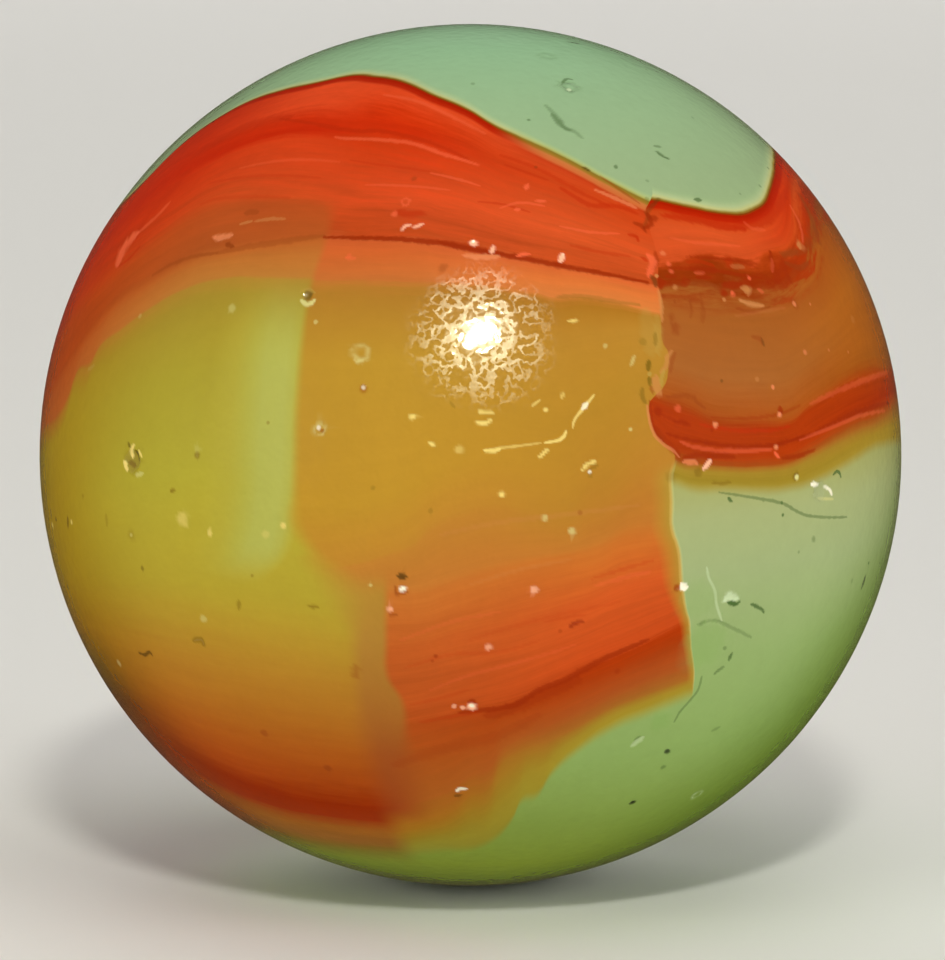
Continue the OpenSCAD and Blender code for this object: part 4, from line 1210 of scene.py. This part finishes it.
def lay_marks(ball, marks):
    """Paints the marks into an attribute, and wears the deep ones into the glass."""
    mesh = ball.data
    places = coordinates(mesh.vertices, "co")
    uneven = np.array([1 + sum(noise.noise(Vector(spot) * scale) * share for scale, share in UNEVEN)
                       for spot in places])
    tints = np.zeros((len(places), 4))
    depths = np.zeros(len(places))
    for mark in marks:
        near, gap, along = reach(mark, places, mark.width)
        half = mark.width / 2
        if len(mark.path) > 1:
            half = half * (THIN_END + (1 - THIN_END) * np.sqrt(np.abs(np.sin(math.pi * along))))
        cover, bowl = cover_and_bowl(mark, gap * uneven[near] / half)
        share = (cover * mark.share)[:, None]
        tints[near] = tints[near] * (1 - share) + np.array(mark.tint) * share
        depths[near] = np.maximum(depths[near], mark.depth * bowl)
    painted = mesh.attributes.new("marks", "FLOAT_COLOR", "POINT")
    painted.data.foreach_set("color", tints.ravel())
    wear = mesh.attributes.new("wear", "FLOAT", "POINT")
    wear.data.foreach_set("value", np.clip(depths / FULL_WEAR, 0, 1))

    worn = ball.vertex_groups.new(name="worn")
    for index in np.flatnonzero(depths):
        worn.add([int(index)], depths[index] / DEEPEST, "REPLACE")
    dent = ball.modifiers.new("wear", "DISPLACE")
    dent.vertex_group = worn.name
    dent.mid_level = 0.0
    dent.strength = -DEEPEST * MM
    bpy.ops.object.modifier_apply(modifier=dent.name)


def make_ball():
    deselect_all()
    bpy.ops.mesh.primitive_cube_add(size=2 * BALL_R)
    ball = bpy.context.object
    ball.name = "glass_ball"
    subdivide(ball, FIRST_CUTS)
    for _ in range(HALVINGS):
        subdivide(ball, 1)
    marks = sprinkle() + MARKS
    refine(ball, marks)
    lay_marks(ball, marks)
    bpy.ops.object.shade_smooth()
    ball.data.materials.append(swirl_glass())
    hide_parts("marble")
    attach(ball, "root")


# ---------------------------------------------------------------- the studio

CAMERA_ELEVATION = 8
CAMERA_DISTANCE = 0.12
CLIP_START = 0.01
SENSOR = 36.0
FRAME_PX = Vector((945, 960))
FOCAL_PX = 6450
BALL_CENTRE_PX = Vector((470.5, 455))

STAGE_SIDES = 96
STAGE_R = 0.7
STAGE_COLOUR = srgb(228, 227, 224)
STAGE_ROUGHNESS = 0.9
WALL_HEIGHT = 0.3
WALL_GLOW = 0.26

WORLD_LIGHT = 0.06
WORLD_COLOUR = (1, 0.8, 0.5, 1)

# Azimuth 0 is in front of the ball and 90 is on its right
KEY_AZIMUTH = 3.2
KEY_ELEVATION = 39.4
KEY_DISTANCE = 0.4
KEY_SIZE = (0.056, 0.031)
KEY_TILT = math.radians(32)
KEY_WATTS = 0.45
# Light that only the highlight gets
GLINT_WATTS = 6.6
GLINT_COLOUR = (0.96, 0.97, 0.66)

FILL_DISTANCE = 0.6
FILL_SIZE = 0.5
# Name, azimuth, elevation, watts
FILLS = [("left_fill", -62, 4, 1.72), ("right_fill", 66, 14, 1.72),
         ("top_fill", 20, 80, 0.93), ("back_fill", 180, 24, 1.4)]


def look_at(made, target):
    made.rotation_euler = (target - made.location).to_track_quat("-Z", "Y").to_euler()


def make_camera():
    data = bpy.data.cameras.new("camera")
    data.sensor_width = SENSOR
    data.lens = SENSOR * FOCAL_PX / max(FRAME_PX)
    data.clip_start = CLIP_START
    camera = bpy.data.objects.new("camera", data)
    bpy.context.scene.collection.objects.link(camera)
    bpy.context.scene.camera = camera
    camera.location = on_ball(0, CAMERA_ELEVATION, CAMERA_DISTANCE)
    # Aimed a little beside the ball, so that it sits where it does in the frame
    right = Vector((1, 0, 0))
    up = camera.location.normalized().cross(right)
    off_centre = (FRAME_PX / 2 - BALL_CENTRE_PX) * CAMERA_DISTANCE / FOCAL_PX
    look_at(camera, right * off_centre.x - up * off_centre.y)


def stage_piece(name, glow):
    """Turns the active object into a matt part of the stage that the ball doesn't mirror."""
    bpy.ops.object.transform_apply()
    made = bpy.context.object
    made.name = name
    material = bpy.data.materials.new(name)
    material.use_nodes = True
    shader = material.node_tree.nodes["Principled BSDF"]
    shader.inputs["Base Color"].default_value = STAGE_COLOUR
    shader.inputs["Roughness"].default_value = STAGE_ROUGHNESS
    shader.inputs["Emission Color"].default_value = STAGE_COLOUR
    shader.inputs["Emission Strength"].default_value = glow
    made.data.materials.append(material)
    made.visible_glossy = False


def make_stage():
    """Pale floor with a low pale wall all round it."""
    deselect_all()
    bpy.ops.mesh.primitive_circle_add(vertices=STAGE_SIDES, radius=STAGE_R, fill_type="NGON",
                                      location=(0, 0, LOWEST.z))
    stage_piece("floor", 0.0)
    deselect_all()
    bpy.ops.mesh.primitive_cylinder_add(vertices=STAGE_SIDES, radius=STAGE_R, depth=WALL_HEIGHT,
                                        end_fill_type="NOTHING",
                                        location=(0, 0, LOWEST.z + WALL_HEIGHT / 2))
    stage_piece("wall", WALL_GLOW)


def lamp(name, azimuth, elevation, distance, size, watts):
    """Round area lamp that faces the ball."""
    data = bpy.data.lights.new(name, "AREA")
    data.shape = "DISK"
    data.size = size
    data.energy = watts
    made = bpy.data.objects.new(name, data)
    bpy.context.scene.collection.objects.link(made)
    made.location = on_ball(azimuth, elevation, distance)
    look_at(made, Vector())
    return made


def key_lamp(name, watts):
    """Tilted elliptical lamp above the camera, for the one highlight."""
    made = lamp(name, KEY_AZIMUTH, KEY_ELEVATION, KEY_DISTANCE, KEY_SIZE[0], watts)
    made.data.shape = "ELLIPSE"
    made.data.size_y = KEY_SIZE[1]
    made.rotation_euler.rotate_axis("Z", KEY_TILT)
    return made


def make_lights():
    world = bpy.data.worlds.new("world")
    world.use_nodes = True
    background = world.node_tree.nodes["Background"]
    background.inputs["Color"].default_value = WORLD_COLOUR
    background.inputs["Strength"].default_value = WORLD_LIGHT
    bpy.context.scene.world = world
    key_lamp("key", KEY_WATTS)
    glint = key_lamp("key_glint", GLINT_WATTS)
    glint.visible_diffuse = False
    glint.data.color = GLINT_COLOUR
    for name, azimuth, elevation, watts in FILLS:
        lamp(name, azimuth, elevation, FILL_DISTANCE, FILL_SIZE, watts).visible_glossy = False


make_camera()
make_stage()
make_lights()
make_ball()
bpy.context.scene.view_settings.view_transform = "Standard"
